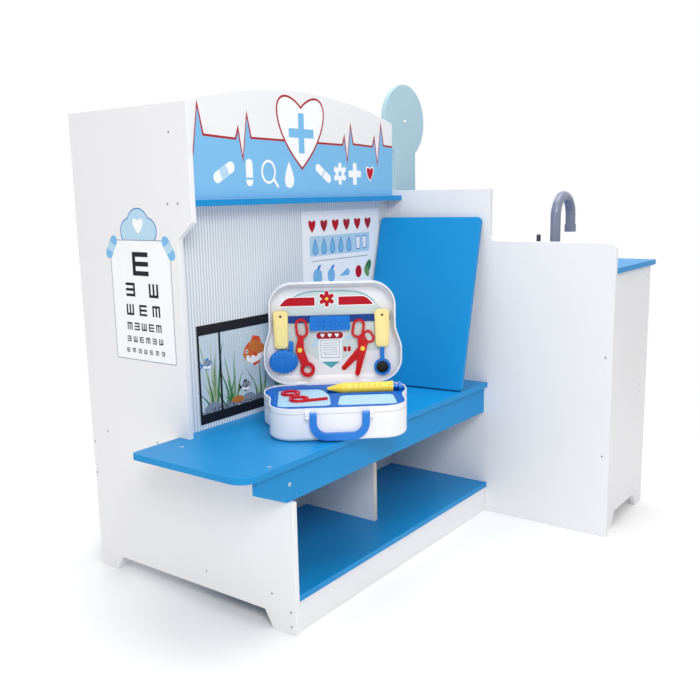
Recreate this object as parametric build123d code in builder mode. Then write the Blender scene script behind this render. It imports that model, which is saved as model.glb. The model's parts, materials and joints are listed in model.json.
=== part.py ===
from build123d import *
import os
from math import cos, radians, sin

# Boards: one thickness of painted fibreboard for the whole set
board = 12.0
edge_ease = 0.8

# Waiting-room unit, measured from its left face, its bench front and the floor
bench_length = 747.0
unit_depth = 558.0
side_height = 963.0
side_front = 257.0
chin_low = 716.0
chin_forward = 39.5
chin_rise = 31.5
seat_top = 332.0
seat_depth = 286.0
seat_overhang = 119.0
seat_front_corner = 36.0
seat_back_corner = 12.0
apron_height = 64.0
apron_setback = 9.4
apron_overhang = 78.0
apron_end_height = 29.5
apron_taper_end = 4.0
low_shelf_top = 75.0
kick_setback = 6.0
partition_left = 380.0
partition_setback = 89.0
rear_shelf_top = 317.0
rear_rail_height = 115.0
cleat_height = 19.0
cleat_from_wall = 46.0
cleat_length = 78.0

# Feet sawn into the boards that stand on the floor
foot_height = 33.0
front_foot = 57.0
rear_foot = 52.0
foot_slope = 19.0

# Header over the bench
header_shelf_top = 788.0
header_shelf_depth = 40.0
header_gap_right = 20.0
header_end_height = 175.0
header_rise = 47.5

# Divider between the bench and the sink
divider_front = -307.0
divider_low = 677.5
divider_high = 800.0
divider_step = -2.5
divider_corner = 17.0
divider_fillet = 15.0

# Sink cabinet
cabinet_front_inset = 10.0
cabinet_depth = 271.5
cabinet_back = 285.0
cabinet_height = 609.0
cabinet_foot_height = 35.0
cabinet_foot_left = 57.0
cabinet_foot_right = 42.0
cabinet_foot_slope = 12.0
cabinet_foot_slope_right = 22.0
cabinet_shelf_height = 311.0
counter_overhang = 9.0
rail_height = 60.0
rail_gap = 1.0
door_gap = 2.0
door_side_gap = 2.0
knob_from_edge = 30.0
knob_below_top = 190.0

# Round-headed column in the back corner of the sink cabinet
column_width = 97.0
column_top = 1064.3
column_head_radius = 91.0
dial_radius = 80.0
dial_thickness = 3.0
pointer_length = 58.0
pointer_hub_radius = 9.0
pointer_thickness = 2.5
pivot_radius = 3.0
pivot_head_radius = 4.6
pivot_head_height = 2.2

# Basin and tap
basin_from_divider = 146.0
basin_from_front = 149.0
basin_radius = 86.0
basin_flange = 7.0
basin_depth = 92.0
basin_floor_radius = 34.0
basin_wall = 3.0
drain_radius = 17.0
drain_hole_radius = 2.6
drain_holes = 6
tap_from_divider = 31.5
tube_radius = 11.8
tap_rise = 113.5
arch_radius = 44.5
spout_drop = 22.0
nozzle_radius = 13.6
nozzle_length = 18.0
nozzle_bore_radius = 8.0
tap_collar_radius = 20.0
tap_collar_height = 16.0
spigot_radius = 5.0
lever_spacing = 41.0
lever_height = 71.0
lever_radius = 5.0
lever_base_radius = 15.0
lever_base_height = 14.0
lever_ball_radius = 8.0
socket_rim = 1.5

# Loose leaf that leans on the divider
leaf_width = 268.0
leaf_length = 416.0
leaf_corner = 9.0
leaf_tilt = 16.6
leaf_turn = 6.0
leaf_from_wall = 3.0

# Doctor's case on the bench, measured in its own turned frame
case_x = 234.7
case_y = 75.7
case_turn = 50.0
case_front_half = 134.0
case_rear_half = 147.0
case_depth = 215.0
case_corner = 50.0
case_waist = 40.0
case_wall = 2.6
case_base_height = 65.0
case_lid_depth = 36.0
case_bottom_round = 9.0
lid_back_round = 13.0
rim_gap = 0.5
hinge_radius = 4.0
hinge_pin_radius = 1.6
hinge_spacing = 70.0
knuckle_length = 10.0
latch_recess_width = 98.0
latch_recess_depth = 1.2
latch_recess_height = 14.0
tray_drop = 3.0
tray_thickness = 7.0
pocket_depth = 4.0
pocket_corner = 16.0
pocket_left = -118.0
pocket_right = 116.0
pocket_front = -78.0
pocket_rear = 74.0
pocket_middle = -8.0
pocket_rib = 10.0
trough_depth = 5.5
trough_half = 14.0
trough_length = 160.0
inlay_thickness = 1.6
post_radius = 6.0
post_x = 86.0
post_y = 62.0
insert_margin = 11.0
insert_thickness = 2.0
band_height = 15.0
band_middle = 134.5
band_length = 250.0
band_thickness = 3.6
clip_width = 86.0
clip_height = 31.0
clip_low = 110.0
clip_thickness = 11.0
clip_middle = -5.0
handle_span = 114.0
handle_drop = 50.0
handle_rod = 14.0
handle_thickness = 9.0
handle_corner = 34.0
handle_below_rim = 12.0
ear_width = 8.0
ear_reach = 12.0
ear_height = 13.0

# Instruments, placed across and up the open lid from the middle of its hinge
grip_width = 33.0
grip_foot_width = 29.0
grip_length = 82.0
grip_round = 9.0
grip_thickness = 9.0
grip_ease = 3.0
horn_grip_x = -110.0
horn_grip_foot = 73.0
horn_x = -106.0
horn_y = 45.0
horn_half_width = 31.0
horn_half_height = 27.0
horn_thickness = 18.0
horn_ease = 7.0
horn_knob_width = 11.0
horn_knob_height = 26.0
mirror_grip_x = 107.0
mirror_grip_foot = 71.0
mirror_ring_x = 107.0
mirror_ring_y = 27.0
mirror_ring_radius = 18.0
mirror_glass_radius = 13.4
mirror_glass_recess = 1.5
mirror_neck_width = 9.0
mirror_thickness = 6.0
blade_thickness = 3.3
loop_width = 27.0
loop_height = 42.0
loop_rim = 5.0
rivet_radius = 3.0
rivet_head_radius = 5.0
rivet_head_height = 1.4
forceps_pivot = (-70.6, 69.0)
forceps_loop = (-65.5, 116.0)
forceps_jaw = (-55.0, 26.0)
jaw_radius = 16.0
jaw_bore_radius = 8.5
jaw_arm_radius = 8.0
arm_radius = 6.0
scissors_pivot = (64.6, 68.0)
scissors_loop = (56.0, 112.0)
scissors_tip = (53.0, 13.5)
scissors_far_loop = (78.5, 93.0)
scissors_far_tip = (24.0, 26.0)
far_loop_width = 22.0
far_loop_height = 30.0
blade_radius = 9.0
tip_radius = 5.0
syringe_left = 14.0
syringe_barrel_length = 104.0
syringe_y = 36.0
barrel_radius = 11.0
barrel_bore_radius = 8.0
nozzle_taper_length = 31.0
nozzle_tip_radius = 2.5
barrel_flange_radius = 12.5
barrel_flange_thickness = 3.0
plunger_radius = 4.0
plunger_stand = 12.0
piston_gap = 62.0
piston_length = 8.0
thumb_radius = 11.0
thumb_thickness = 4.0
glasses_x = -84.0
glasses_y = 8.0
glasses_turn = -73.0
lens_spacing = 56.0
lens_radius = 20.0
lens_bore_radius = 14.5
glasses_thickness = 5.0
temple_length = 54.0
temple_width = 5.0

# Fasteners and fits
screw_head_radius = 3.6
screw_head_height = 2.0
screw_shank_radius = 2.0
screw_length = 30.0
socket_radius = 1.7
socket_depth = 1.3
screw_play = 0.1
running_fit = 0.08
rest_gap = 0.3
door_pin_radius = 3.0
door_pin_in_door = 12.0
door_pin_in_board = 9.0
door_pin_inset = 7.0
knob_radius = 14.0
knob_neck_radius = 7.0
knob_height = 22.0

# Shares of a board's length or height at which its screws sit
end_screw_share = 0.2
kick_low_share = 0.22
kick_high_share = 0.64
header_screw_share = 0.7
header_shelf_share = 0.35
seat_screw_share = 0.5
front_end_low_share = 0.315
front_end_high_share = 0.693
back_end_low_share = 0.25
back_end_high_share = 0.92
cabinet_screw_share = 0.19
rail_screw_share = 0.45

# Shares that shape turned and moulded pieces
full_round_share = 0.49
knob_neck_share = 0.4
knob_belly_share = 0.68
skirt_share = 0.35
drain_ring_share = 0.6
tip_round_share = 0.6
pointer_base_share = 0.6
pivot_dome_share = 0.6
waist_front_share = 0.08
waist_rear_share = 0.28
moulded_corner_share = 0.2
front_pocket_corner_share = 0.8
horn_knob_share = 0.6
horn_knob_round_share = 0.45
horn_knob_gap = 1.0
horn_knob_rise = 4.0

# Places that follow from the sizes above
divider_left = bench_length
divider_right = divider_left + board
seat_bottom = seat_top - board
apron_low = seat_bottom - apron_height
wall_front = seat_depth
wall_back = wall_front + board
header_shelf_low = header_shelf_top - board
header_front = wall_front - header_shelf_depth / 2 - board / 2
header_right = divider_left - header_gap_right
rear_shelf_low = rear_shelf_top - board
cabinet_front = divider_front + cabinet_front_inset
cabinet_right = divider_right + cabinet_depth
counter_right = cabinet_right + counter_overhang
counter_front = cabinet_front - counter_overhang
counter_top = cabinet_height + board
column_front = cabinet_back - board
end_inner = cabinet_front + board
rail_front = cabinet_right - board - rail_gap
rail_back = rail_front - board
cabinet_bottom_top = cabinet_foot_height + board
door_low = cabinet_bottom_top + door_gap
door_high = cabinet_height - door_gap
door_middle = (end_inner + column_front) / 2
door_inner = cabinet_right - board
door_axis_x = cabinet_right - board / 2
basin_x = divider_right + basin_from_divider
basin_y = cabinet_front + basin_from_front
tap_x = divider_right + tap_from_divider
lever_y = basin_y + lever_spacing
column_x = divider_right + column_width / 2
column_z = column_top - column_head_radius

# The model's origin: the middle of its footprint, on the floor
origin_x = (max(counter_right, cabinet_right + knob_height) - seat_overhang) / 2
origin_y = (divider_front + unit_depth) / 2


def at(x, y, z):
    """A point of the unit's own measuring frame, moved to the model's origin."""
    return Vector(x - origin_x, y - origin_y, z)


def level(z):
    """A horizontal plane at a height, with x along the bench and y towards the back."""
    return Plane(origin=at(0, 0, z))


def upright(y):
    """An upright plane along the bench that faces the front, with x and height."""
    return Plane(origin=at(0, y, 0), x_dir=(1, 0, 0), z_dir=(0, -1, 0))


def sideways(x):
    """An upright plane across the bench that faces right, with depth and height."""
    return Plane(origin=at(x, 0, 0), x_dir=(0, 1, 0), z_dir=(1, 0, 0))


def profile(x, y, z):
    """An upright plane at a point, for shapes turned about the vertical there."""
    return Plane(origin=at(x, y, z), x_dir=(1, 0, 0), z_dir=(0, -1, 0))


def ease(axis, radius=edge_ease):
    """Rounds the edges of a board's two broad faces a little."""
    broad = faces().sort_by(axis)
    fillet(broad[0].edges() + broad[-1].edges(), radius=radius)


def driven(points, outward):
    """Places of screws whose heads look outward at the given points."""
    return [Plane(origin=at(*point), z_dir=outward).location for point in points]


def drill(places):
    """Clearance holes with recesses for the screw heads."""
    with Locations(*places):
        CounterBoreHole(
            radius=screw_shank_radius + screw_play,
            counter_bore_radius=screw_head_radius + screw_play,
            counter_bore_depth=screw_head_height,
            depth=screw_length + screw_play,
        )


def finish(piece, name):
    """Names a finished piece and writes it to its own file."""
    piece.label = name
    export_step(piece, os.path.join("parts", name + ".step"))


os.makedirs("parts", exist_ok=True)

# Screw places, in line with the middles of the boards that they hold
low_shelf_mid = low_shelf_top - board / 2
kick_mid = kick_setback + board / 2
header_mid = header_front + board / 2
header_shelf_mid = header_shelf_top - board / 2
rear_shelf_mid = rear_shelf_top - board / 2
rear_rail_mid = unit_depth - board / 2
end_mid = cabinet_front + board / 2
column_mid = column_front + board / 2
far_screw_share = 1 - end_screw_share
low_shelf_screws = [
    (seat_depth * end_screw_share, low_shelf_mid),
    (seat_depth * far_screw_share, low_shelf_mid),
]
kick_screws = [(kick_mid, low_shelf_mid * kick_low_share), (kick_mid, low_shelf_mid * kick_high_share)]
header_screws = [(header_mid, header_shelf_top + header_end_height * header_screw_share)]
header_shelf_screws = [
    (header_mid - header_shelf_depth * header_shelf_share, header_shelf_mid),
    (header_mid + header_shelf_depth * header_shelf_share, header_shelf_mid),
]
rear_span = unit_depth - wall_back
rear_screws = [
    (wall_back + rear_span * end_screw_share, rear_shelf_mid),
    (wall_back + rear_span * far_screw_share, rear_shelf_mid),
    (rear_rail_mid, rear_shelf_low - rear_rail_height * end_screw_share),
    (rear_rail_mid, rear_shelf_low - rear_rail_height * far_screw_share),
]
shared_screws = low_shelf_screws + kick_screws + header_shelf_screws + rear_screws
left_screws = driven([(0, y, z) for y, z in shared_screws + header_screws], (-1, 0, 0))
right_screws = driven([(divider_right, y, z) for y, z in shared_screws], (1, 0, 0))
apron_screws = driven([(board / 2, apron_setback, seat_bottom - apron_height / 2)], (0, -1, 0))
cleat_back = wall_front - cleat_from_wall
seat_screws = driven(
    [
        (-apron_overhang * seat_screw_share, apron_setback + board / 2, seat_top),
        (-cleat_length * seat_screw_share, cleat_back - board / 2, seat_top),
    ],
    (0, 0, 1),
)
divider_screws = driven(
    [
        (divider_left, end_mid, cabinet_height * front_end_low_share),
        (divider_left, end_mid, cabinet_height * front_end_high_share),
        (divider_left, column_mid, cabinet_height * back_end_low_share),
        (divider_left, column_mid, cabinet_height * back_end_high_share),
    ],
    (-1, 0, 0),
)
cabinet_screws = [
    (divider_right + cabinet_depth * cabinet_screw_share, cabinet_shelf_height + board / 2),
    (cabinet_right - cabinet_depth * cabinet_screw_share, cabinet_shelf_height + board / 2),
    (rail_back + board / 2, cabinet_height - rail_height * rail_screw_share),
]
front_end_screws = driven([(x, cabinet_front, z) for x, z in cabinet_screws], (0, -1, 0))
back_end_screws = driven([(x, cabinet_back, z) for x, z in cabinet_screws], (0, 1, 0))

# Waiting-room unit
with BuildPart() as left_side_panel:
    with BuildSketch(sideways(0)):
        Polygon(
            (0, 0),
            (0, apron_low),
            (apron_setback + board, apron_low),
            (apron_setback + board, seat_bottom),
            (seat_depth, seat_bottom),
            (seat_depth, seat_top),
            (side_front, seat_top),
            (side_front, chin_low),
            (side_front - chin_forward, chin_low + chin_rise),
            (side_front - chin_forward, side_height),
            (unit_depth, side_height),
            (unit_depth, 0),
            (unit_depth - rear_foot, 0),
            (unit_depth - rear_foot - foot_slope, foot_height),
            (front_foot + foot_slope, foot_height),
            (front_foot, 0),
        )
    extrude(amount=board)
    ease(Axis.X)
    drill(left_screws + apron_screws)
finish(left_side_panel.part, "left_side_panel")

with BuildPart() as divider_panel:
    with BuildSketch(sideways(divider_left)):
        with BuildLine():
            FilletPolyline(
                (divider_front, 0),
                (divider_front, divider_low),
                (divider_step, divider_low),
                (divider_step, divider_high),
                (unit_depth, divider_high),
                (unit_depth, 0),
                radius=(0, divider_corner, divider_fillet, 0, 0, 0),
                close=True,
            )
        make_face()
    extrude(amount=board)
    ease(Axis.X)
    drill(right_screws + divider_screws)
finish(divider_panel.part, "divider_panel")

with BuildPart() as bench_seat:
    with BuildSketch(level(seat_bottom)):
        with BuildLine():
            FilletPolyline(
                (-seat_overhang, 0),
                (bench_length, 0),
                (bench_length, seat_depth),
                (-seat_overhang, seat_depth),
                radius=(seat_front_corner, 0, 0, seat_back_corner),
                close=True,
            )
        make_face()
    extrude(amount=board)
    ease(Axis.Z)
    drill(seat_screws)
finish(bench_seat.part, "bench_seat")

with BuildPart() as bench_apron:
    with BuildSketch(upright(apron_setback)):
        Polygon(
            (-apron_overhang, seat_bottom),
            (-apron_overhang, seat_bottom - apron_end_height),
            (-apron_taper_end, apron_low),
            (bench_length, apron_low),
            (bench_length, seat_bottom),
        )
    extrude(amount=-board)
    ease(Axis.Y)
    drill(apron_screws + seat_screws)
finish(bench_apron.part, "bench_apron")


def slab(plane, low, high, amount):
    """A plain board between two corners drawn on a plane."""
    with BuildPart(mode=Mode.PRIVATE) as cut_board:
        with BuildSketch(plane):
            with Locations(low):
                Rectangle(high[0] - low[0], high[1] - low[1], align=Align.MIN)
        extrude(amount=amount)
    return cut_board.part


with BuildPart() as seat_cleat:
    add(slab(upright(cleat_back - board), (-cleat_length, seat_bottom - cleat_height),
             (0, seat_bottom), -board))
    drill(seat_screws)
finish(seat_cleat.part, "seat_cleat")

with BuildPart() as bench_lower_shelf:
    add(slab(level(low_shelf_top - board), (board, 0), (bench_length, seat_depth), board))
    ease(Axis.Z)
    drill(left_screws + right_screws)
finish(bench_lower_shelf.part, "bench_lower_shelf")

with BuildPart() as bench_toe_kick:
    add(slab(upright(kick_setback), (board, 0), (bench_length, low_shelf_top - board), -board))
    ease(Axis.Y)
    drill(left_screws + right_screws)
finish(bench_toe_kick.part, "bench_toe_kick")

with BuildPart() as bench_partition:
    add(slab(sideways(partition_left), (partition_setback, low_shelf_top), (seat_depth, seat_bottom), board))
    ease(Axis.X)
finish(bench_partition.part, "bench_partition")

with BuildPart() as wall_panel:
    add(slab(upright(wall_front), (board, foot_height), (bench_length, header_shelf_top), -board))
    ease(Axis.Y)
finish(wall_panel.part, "wall_panel")

with BuildPart() as header_shelf:
    add(slab(level(header_shelf_low), (board, wall_front - header_shelf_depth), (bench_length, wall_front),
             board))
    ease(Axis.Z)
    drill(left_screws + right_screws)
finish(header_shelf.part, "header_shelf")

with BuildPart() as header_board:
    header_corner_z = header_shelf_top + header_end_height
    with BuildSketch(upright(header_front)):
        with BuildLine():
            Polyline(
                (board, header_corner_z),
                (board, header_shelf_top),
                (header_right, header_shelf_top),
                (header_right, header_corner_z),
            )
            ThreePointArc(
                (header_right, header_corner_z),
                ((board + header_right) / 2, header_corner_z + header_rise),
                (board, header_corner_z),
            )
        make_face()
    extrude(amount=-board)
    ease(Axis.Y)
    drill(left_screws)
finish(header_board.part, "header_board")

with BuildPart() as rear_shelf:
    add(slab(level(rear_shelf_low), (board, wall_back), (bench_length, unit_depth), board))
    ease(Axis.Z)
    drill(left_screws + right_screws)
finish(rear_shelf.part, "rear_shelf")

with BuildPart() as rear_rail:
    add(slab(upright(unit_depth), (board, rear_shelf_low - rear_rail_height), (bench_length, rear_shelf_low),
             board))
    ease(Axis.Y)
    drill(left_screws + right_screws)
finish(rear_rail.part, "rear_rail")

# Sink cabinet
foot_left = divider_right + cabinet_foot_left
foot_right = cabinet_right - cabinet_foot_right
cabinet_feet = [
    (cabinet_right, cabinet_height),
    (cabinet_right, 0),
    (foot_right, 0),
    (foot_right - cabinet_foot_slope_right, cabinet_foot_height),
    (foot_left + cabinet_foot_slope, cabinet_foot_height),
    (foot_left, 0),
    (divider_right, 0),
]

with BuildPart() as cabinet_end_panel:
    with BuildSketch(upright(cabinet_front)):
        Polygon((divider_right, cabinet_height), *cabinet_feet)
    extrude(amount=-board)
    ease(Axis.Y)
    drill(front_end_screws + divider_screws)
finish(cabinet_end_panel.part, "cabinet_end_panel")

with BuildPart() as column_board:
    column_edge = divider_right + column_width
    with BuildSketch(upright(column_front)):
        Polygon(
            (divider_right, column_z),
            (column_edge, column_z),
            (column_edge, cabinet_height),
            *cabinet_feet,
        )
        with Locations((column_x, column_z)):
            Circle(column_head_radius)
            Circle(pivot_radius + running_fit, mode=Mode.SUBTRACT)
    extrude(amount=-board)
    drill(back_end_screws + divider_screws)
finish(column_board.part, "column_board")

door_front_axis = end_inner + door_pin_inset
door_back_axis = column_front - door_pin_inset

with BuildPart() as cabinet_bottom:
    add(slab(level(cabinet_foot_height), (divider_right, end_inner), (cabinet_right, column_front), board))
    with BuildSketch(level(cabinet_bottom_top)):
        with Locations((door_axis_x, door_front_axis), (door_axis_x, door_back_axis)):
            Circle(door_pin_radius)
    extrude(amount=-door_pin_in_board, mode=Mode.SUBTRACT)
finish(cabinet_bottom.part, "cabinet_bottom")

with BuildPart() as cabinet_shelf:
    add(slab(level(cabinet_shelf_height), (divider_right, end_inner), (rail_front, column_front), board))
    ease(Axis.Z)
    drill(front_end_screws + back_end_screws)
finish(cabinet_shelf.part, "cabinet_shelf")

with BuildPart() as cabinet_rail:
    add(slab(sideways(rail_back), (end_inner, cabinet_height - rail_height), (column_front, cabinet_height),
             board))
    drill(front_end_screws + back_end_screws)
finish(cabinet_rail.part, "cabinet_rail")

with BuildPart() as countertop:
    with BuildSketch(level(cabinet_height)):
        Polygon(
            (divider_right, counter_front),
            (counter_right, counter_front),
            (counter_right, cabinet_back),
            (column_edge, cabinet_back),
            (column_edge, column_front),
            (divider_right, column_front),
        )
        with Locations((basin_x, basin_y)):
            Circle(basin_radius + rest_gap, mode=Mode.SUBTRACT)
        with Locations((tap_x, basin_y), (tap_x, lever_y)):
            Circle(spigot_radius + running_fit, mode=Mode.SUBTRACT)
    extrude(amount=board)
    with BuildSketch(level(cabinet_height)):
        with Locations((door_axis_x, door_front_axis), (door_axis_x, door_back_axis)):
            Circle(door_pin_radius)
    extrude(amount=door_pin_in_board, mode=Mode.SUBTRACT)
finish(countertop.part, "countertop")


def build_door(first, last, axis_y):
    """A cabinet door between two depths, rounded along the edge that turns."""
    turning_end = first if axis_y < door_middle else last
    knob_y = door_middle + (knob_from_edge if axis_y > door_middle else -knob_from_edge)
    with BuildPart() as leaf:
        with BuildSketch(level(door_low)):
            with Locations((door_inner, first)):
                Rectangle(board, last - first, align=Align.MIN)
            corners = vertices().filter_by_position(Axis.Y, turning_end - rest_gap, turning_end + rest_gap)
            fillet(corners, radius=board * full_round_share)
        extrude(amount=door_high - door_low)
        for height, depth in ((door_low, door_pin_in_door), (door_high, -door_pin_in_door)):
            with BuildSketch(level(height)):
                with Locations((door_axis_x, axis_y)):
                    Circle(door_pin_radius + running_fit)
            extrude(amount=depth, mode=Mode.SUBTRACT)
        with BuildSketch(sideways(door_inner)):
            with Locations((knob_y, door_high - knob_below_top)):
                Circle(screw_shank_radius)
        extrude(amount=board, mode=Mode.SUBTRACT)
    return leaf.part


def build_door_knob(axis_y):
    """A round knob with a neck, and the stud that holds it through the door."""
    knob_y = door_middle + (knob_from_edge if axis_y > door_middle else -knob_from_edge)
    knob_plane = Plane(
        origin=at(cabinet_right, knob_y, door_high - knob_below_top), x_dir=(0, 1, 0), z_dir=(0, 0, 1)
    )
    with BuildPart() as knob:
        with BuildSketch(knob_plane):
            with BuildLine():
                Polyline(
                    (0, -knob_height),
                    (0, board),
                    (screw_shank_radius, board),
                    (screw_shank_radius, 0),
                    (knob_neck_radius, 0),
                    (knob_neck_radius, -knob_height * knob_neck_share),
                )
                Spline(
                    (knob_neck_radius, -knob_height * knob_neck_share),
                    (knob_radius, -knob_height * knob_belly_share),
                    (0, -knob_height),
                    tangents=[(1, -knob_neck_share), (-1, 0)],
                )
            make_face()
        revolve(axis=Axis(knob_plane.origin, (1, 0, 0)))
    return knob.part


for side, axis_y, first, last in (
    ("front", door_front_axis, end_inner + door_side_gap, door_middle - door_side_gap / 2),
    ("back", door_back_axis, door_middle + door_side_gap / 2, column_front - door_side_gap),
):
    finish(build_door(first, last, axis_y), "door_" + side)
    finish(build_door_knob(axis_y), "door_knob_" + side)

# Dowels in the floor and the top of the cabinet, which the doors turn on
with BuildPart() as door_pins:
    for foot, head in (
        (cabinet_bottom_top - door_pin_in_board, door_low + door_pin_in_door - door_gap),
        (door_high - door_pin_in_door + door_gap, cabinet_height + door_pin_in_board),
    ):
        with BuildSketch(level(foot)):
            with Locations((door_axis_x, door_front_axis), (door_axis_x, door_back_axis)):
                Circle(door_pin_radius)
        extrude(amount=head - foot)
finish(door_pins.part, "door_pins")

# Basin with its flange on the countertop, and the drain in its floor
basin_plane = profile(basin_x, basin_y, counter_top)
bowl_span = basin_radius - basin_floor_radius
with BuildPart() as basin:
    with BuildSketch(basin_plane):
        with BuildLine():
            Polyline(
                (basin_radius - basin_wall, 0),
                (basin_radius - basin_wall, basin_wall),
                (basin_radius + basin_flange, basin_wall),
                (basin_radius + basin_flange, 0),
                (basin_radius, 0),
            )
            EllipticalCenterArc((basin_floor_radius, 0), bowl_span, basin_depth + basin_wall,
                                start_angle=-90, arc_size=90)
            Polyline(
                (basin_floor_radius, -basin_depth - basin_wall),
                (drain_radius, -basin_depth - basin_wall),
                (drain_radius, -basin_depth),
                (basin_floor_radius, -basin_depth),
            )
            EllipticalCenterArc((basin_floor_radius, 0), bowl_span - basin_wall, basin_depth,
                                start_angle=-90, arc_size=90)
        make_face()
    revolve(axis=Axis(basin_plane.origin, (0, 0, 1)))
finish(basin.part, "basin")

with BuildPart() as basin_drain:
    with BuildSketch(level(counter_top - basin_depth - basin_wall)):
        with Locations((basin_x, basin_y)):
            Circle(drain_radius)
            with PolarLocations(drain_radius * drain_ring_share, drain_holes):
                Circle(drain_hole_radius, mode=Mode.SUBTRACT)
    extrude(amount=basin_wall)
finish(basin_drain.part, "basin_drain")

# Tap: a fixed collar, a gooseneck that swivels in it, a nozzle and a tilting lever
tap_plane = profile(tap_x, basin_y, counter_top)
tube_bore = tube_radius + running_fit
with BuildPart() as tap_collar:
    with BuildSketch(tap_plane):
        Polygon(
            (tube_bore, 0),
            (tap_collar_radius, 0),
            (tap_collar_radius, tap_collar_height * skirt_share),
            ((tap_collar_radius + tube_bore) / 2, tap_collar_height),
            (tube_bore, tap_collar_height),
        )
    revolve(axis=Axis(tap_plane.origin, (0, 0, 1)))
finish(tap_collar.part, "tap_collar")

with BuildPart() as tap_spout:
    with BuildLine(tap_plane):
        Line((0, rest_gap), (0, tap_rise))
        ThreePointArc((0, tap_rise), (arch_radius, tap_rise + arch_radius), (2 * arch_radius, tap_rise))
        Line((2 * arch_radius, tap_rise), (2 * arch_radius, tap_rise - spout_drop))
    with BuildSketch(level(counter_top + rest_gap)):
        with Locations((tap_x, basin_y)):
            Circle(tube_radius)
    sweep()
    with BuildSketch(level(counter_top + rest_gap)):
        with Locations((tap_x, basin_y)):
            Circle(spigot_radius)
    extrude(amount=-board)
finish(tap_spout.part, "tap_spout")

with BuildPart() as tap_nozzle:
    nozzle_foot = counter_top + tap_rise - spout_drop - nozzle_length
    with BuildSketch(level(nozzle_foot)):
        with Locations((tap_x + 2 * arch_radius, basin_y)):
            Circle(nozzle_radius)
    extrude(amount=nozzle_length)
    ease(Axis.Z)
    with BuildSketch(level(nozzle_foot)):
        with Locations((tap_x + 2 * arch_radius, basin_y)):
            Circle(nozzle_bore_radius)
    extrude(amount=nozzle_length / 2, mode=Mode.SUBTRACT)
finish(tap_nozzle.part, "tap_nozzle")

lever_plane = profile(tap_x, lever_y, counter_top)
lever_ball = at(tap_x, lever_y, counter_top + lever_base_height)
with BuildPart() as lever_base:
    with BuildSketch(lever_plane):
        Polygon(
            (0, -board),
            (spigot_radius, -board),
            (spigot_radius, 0),
            (lever_base_radius, 0),
            (lever_base_radius, lever_base_height * skirt_share),
            (lever_ball_radius + socket_rim, lever_base_height),
            (0, lever_base_height),
        )
    revolve(axis=Axis(lever_plane.origin, (0, 0, 1)))
    with Locations(lever_ball):
        Sphere(lever_ball_radius + running_fit, mode=Mode.SUBTRACT)
finish(lever_base.part, "lever_base")

with BuildPart() as tap_lever:
    with BuildSketch(Plane(origin=lever_ball)):
        Circle(lever_radius)
    extrude(amount=lever_height - lever_base_height)
    fillet(edges().filter_by(GeomType.CIRCLE).sort_by(Axis.Z)[-1], radius=lever_radius * tip_round_share)
    with Locations(lever_ball):
        Sphere(lever_ball_radius)
finish(tap_lever.part, "tap_lever")

# Dial on the back of the round head: a disc, a pointer and the pivot through the board
with BuildPart() as dial_disc:
    with BuildSketch(upright(cabinet_back)):
        with Locations((column_x, column_z)):
            Circle(dial_radius)
            Circle(pivot_radius + running_fit, mode=Mode.SUBTRACT)
    extrude(amount=-dial_thickness)
finish(dial_disc.part, "dial_disc")

with BuildPart() as dial_pointer:
    with BuildSketch(upright(cabinet_back + dial_thickness + rest_gap)):
        Polygon(
            (column_x - pointer_hub_radius * pointer_base_share, column_z),
            (column_x, column_z + pointer_length),
            (column_x + pointer_hub_radius * pointer_base_share, column_z),
        )
        with Locations((column_x, column_z)):
            Circle(pointer_hub_radius)
            Circle(pivot_radius, mode=Mode.SUBTRACT)
    extrude(amount=-pointer_thickness)
finish(dial_pointer.part, "dial_pointer")

pivot_plane = Plane(origin=at(column_x, column_front, column_z), x_dir=(1, 0, 0), z_dir=(0, 0, 1))
pivot_end = board + dial_thickness + rest_gap + pointer_thickness
with BuildPart() as dial_pivot:
    with BuildSketch(pivot_plane):
        Polygon(
            (0, -rest_gap - pivot_head_height),
            (pivot_head_radius * pivot_dome_share, -rest_gap - pivot_head_height),
            (pivot_head_radius, -rest_gap),
            (pivot_radius, -rest_gap),
            (pivot_radius, pivot_end),
            (0, pivot_end),
        )
    revolve(axis=Axis(pivot_plane.origin, (0, 1, 0)))
finish(dial_pivot.part, "dial_pivot")

# Loose leaf: a board that stands on the bench and leans against the divider
leaf_along = Vector(-sin(radians(leaf_turn)), cos(radians(leaf_turn)), 0)
leaf_out = Vector(cos(radians(leaf_turn)), sin(radians(leaf_turn)), 0)
leaf_up = leaf_out * sin(radians(leaf_tilt)) + Vector(0, 0, cos(radians(leaf_tilt)))
leaf_plane = Plane(origin=at(0, 0, 0), x_dir=leaf_along, z_dir=leaf_along.cross(leaf_up))
with BuildPart() as leaning_leaf:
    with BuildSketch(leaf_plane):
        with Locations((leaf_width / 2, leaf_length / 2)):
            RectangleRounded(leaf_width, leaf_length, leaf_corner)
    extrude(amount=board)
    ease(Axis(leaf_plane.origin, leaf_plane.z_dir))
leaf_box = leaning_leaf.part.bounding_box()
leaf_corner_point = at(divider_left - rest_gap, wall_front - leaf_from_wall, seat_top + rest_gap)
leaf_move = leaf_corner_point - Vector(leaf_box.max.X, leaf_box.max.Y, leaf_box.min.Z)
finish(leaning_leaf.part.moved(Location(leaf_move)), "leaning_leaf")

# Doctor's case: a plan that is narrow at the front, wide at the hinge, with round corners
case_plane = Plane(
    origin=at(case_x, case_y, seat_top + rest_gap),
    x_dir=(cos(radians(case_turn)), -sin(radians(case_turn)), 0),
    z_dir=(0, 0, 1),
)
case_half = case_depth / 2
lid_plane = Plane(
    origin=case_plane.from_local_coords((0, case_half, case_base_height)),
    x_dir=case_plane.x_dir,
    z_dir=-case_plane.y_dir,
)
lid_floor = case_wall - case_lid_depth
insert_top = lid_floor + insert_thickness
band_top = insert_top + band_thickness
rim_z = case_base_height - rim_gap / 2
tray_top = case_base_height - tray_drop
tray_low = tray_top - tray_thickness

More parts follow.
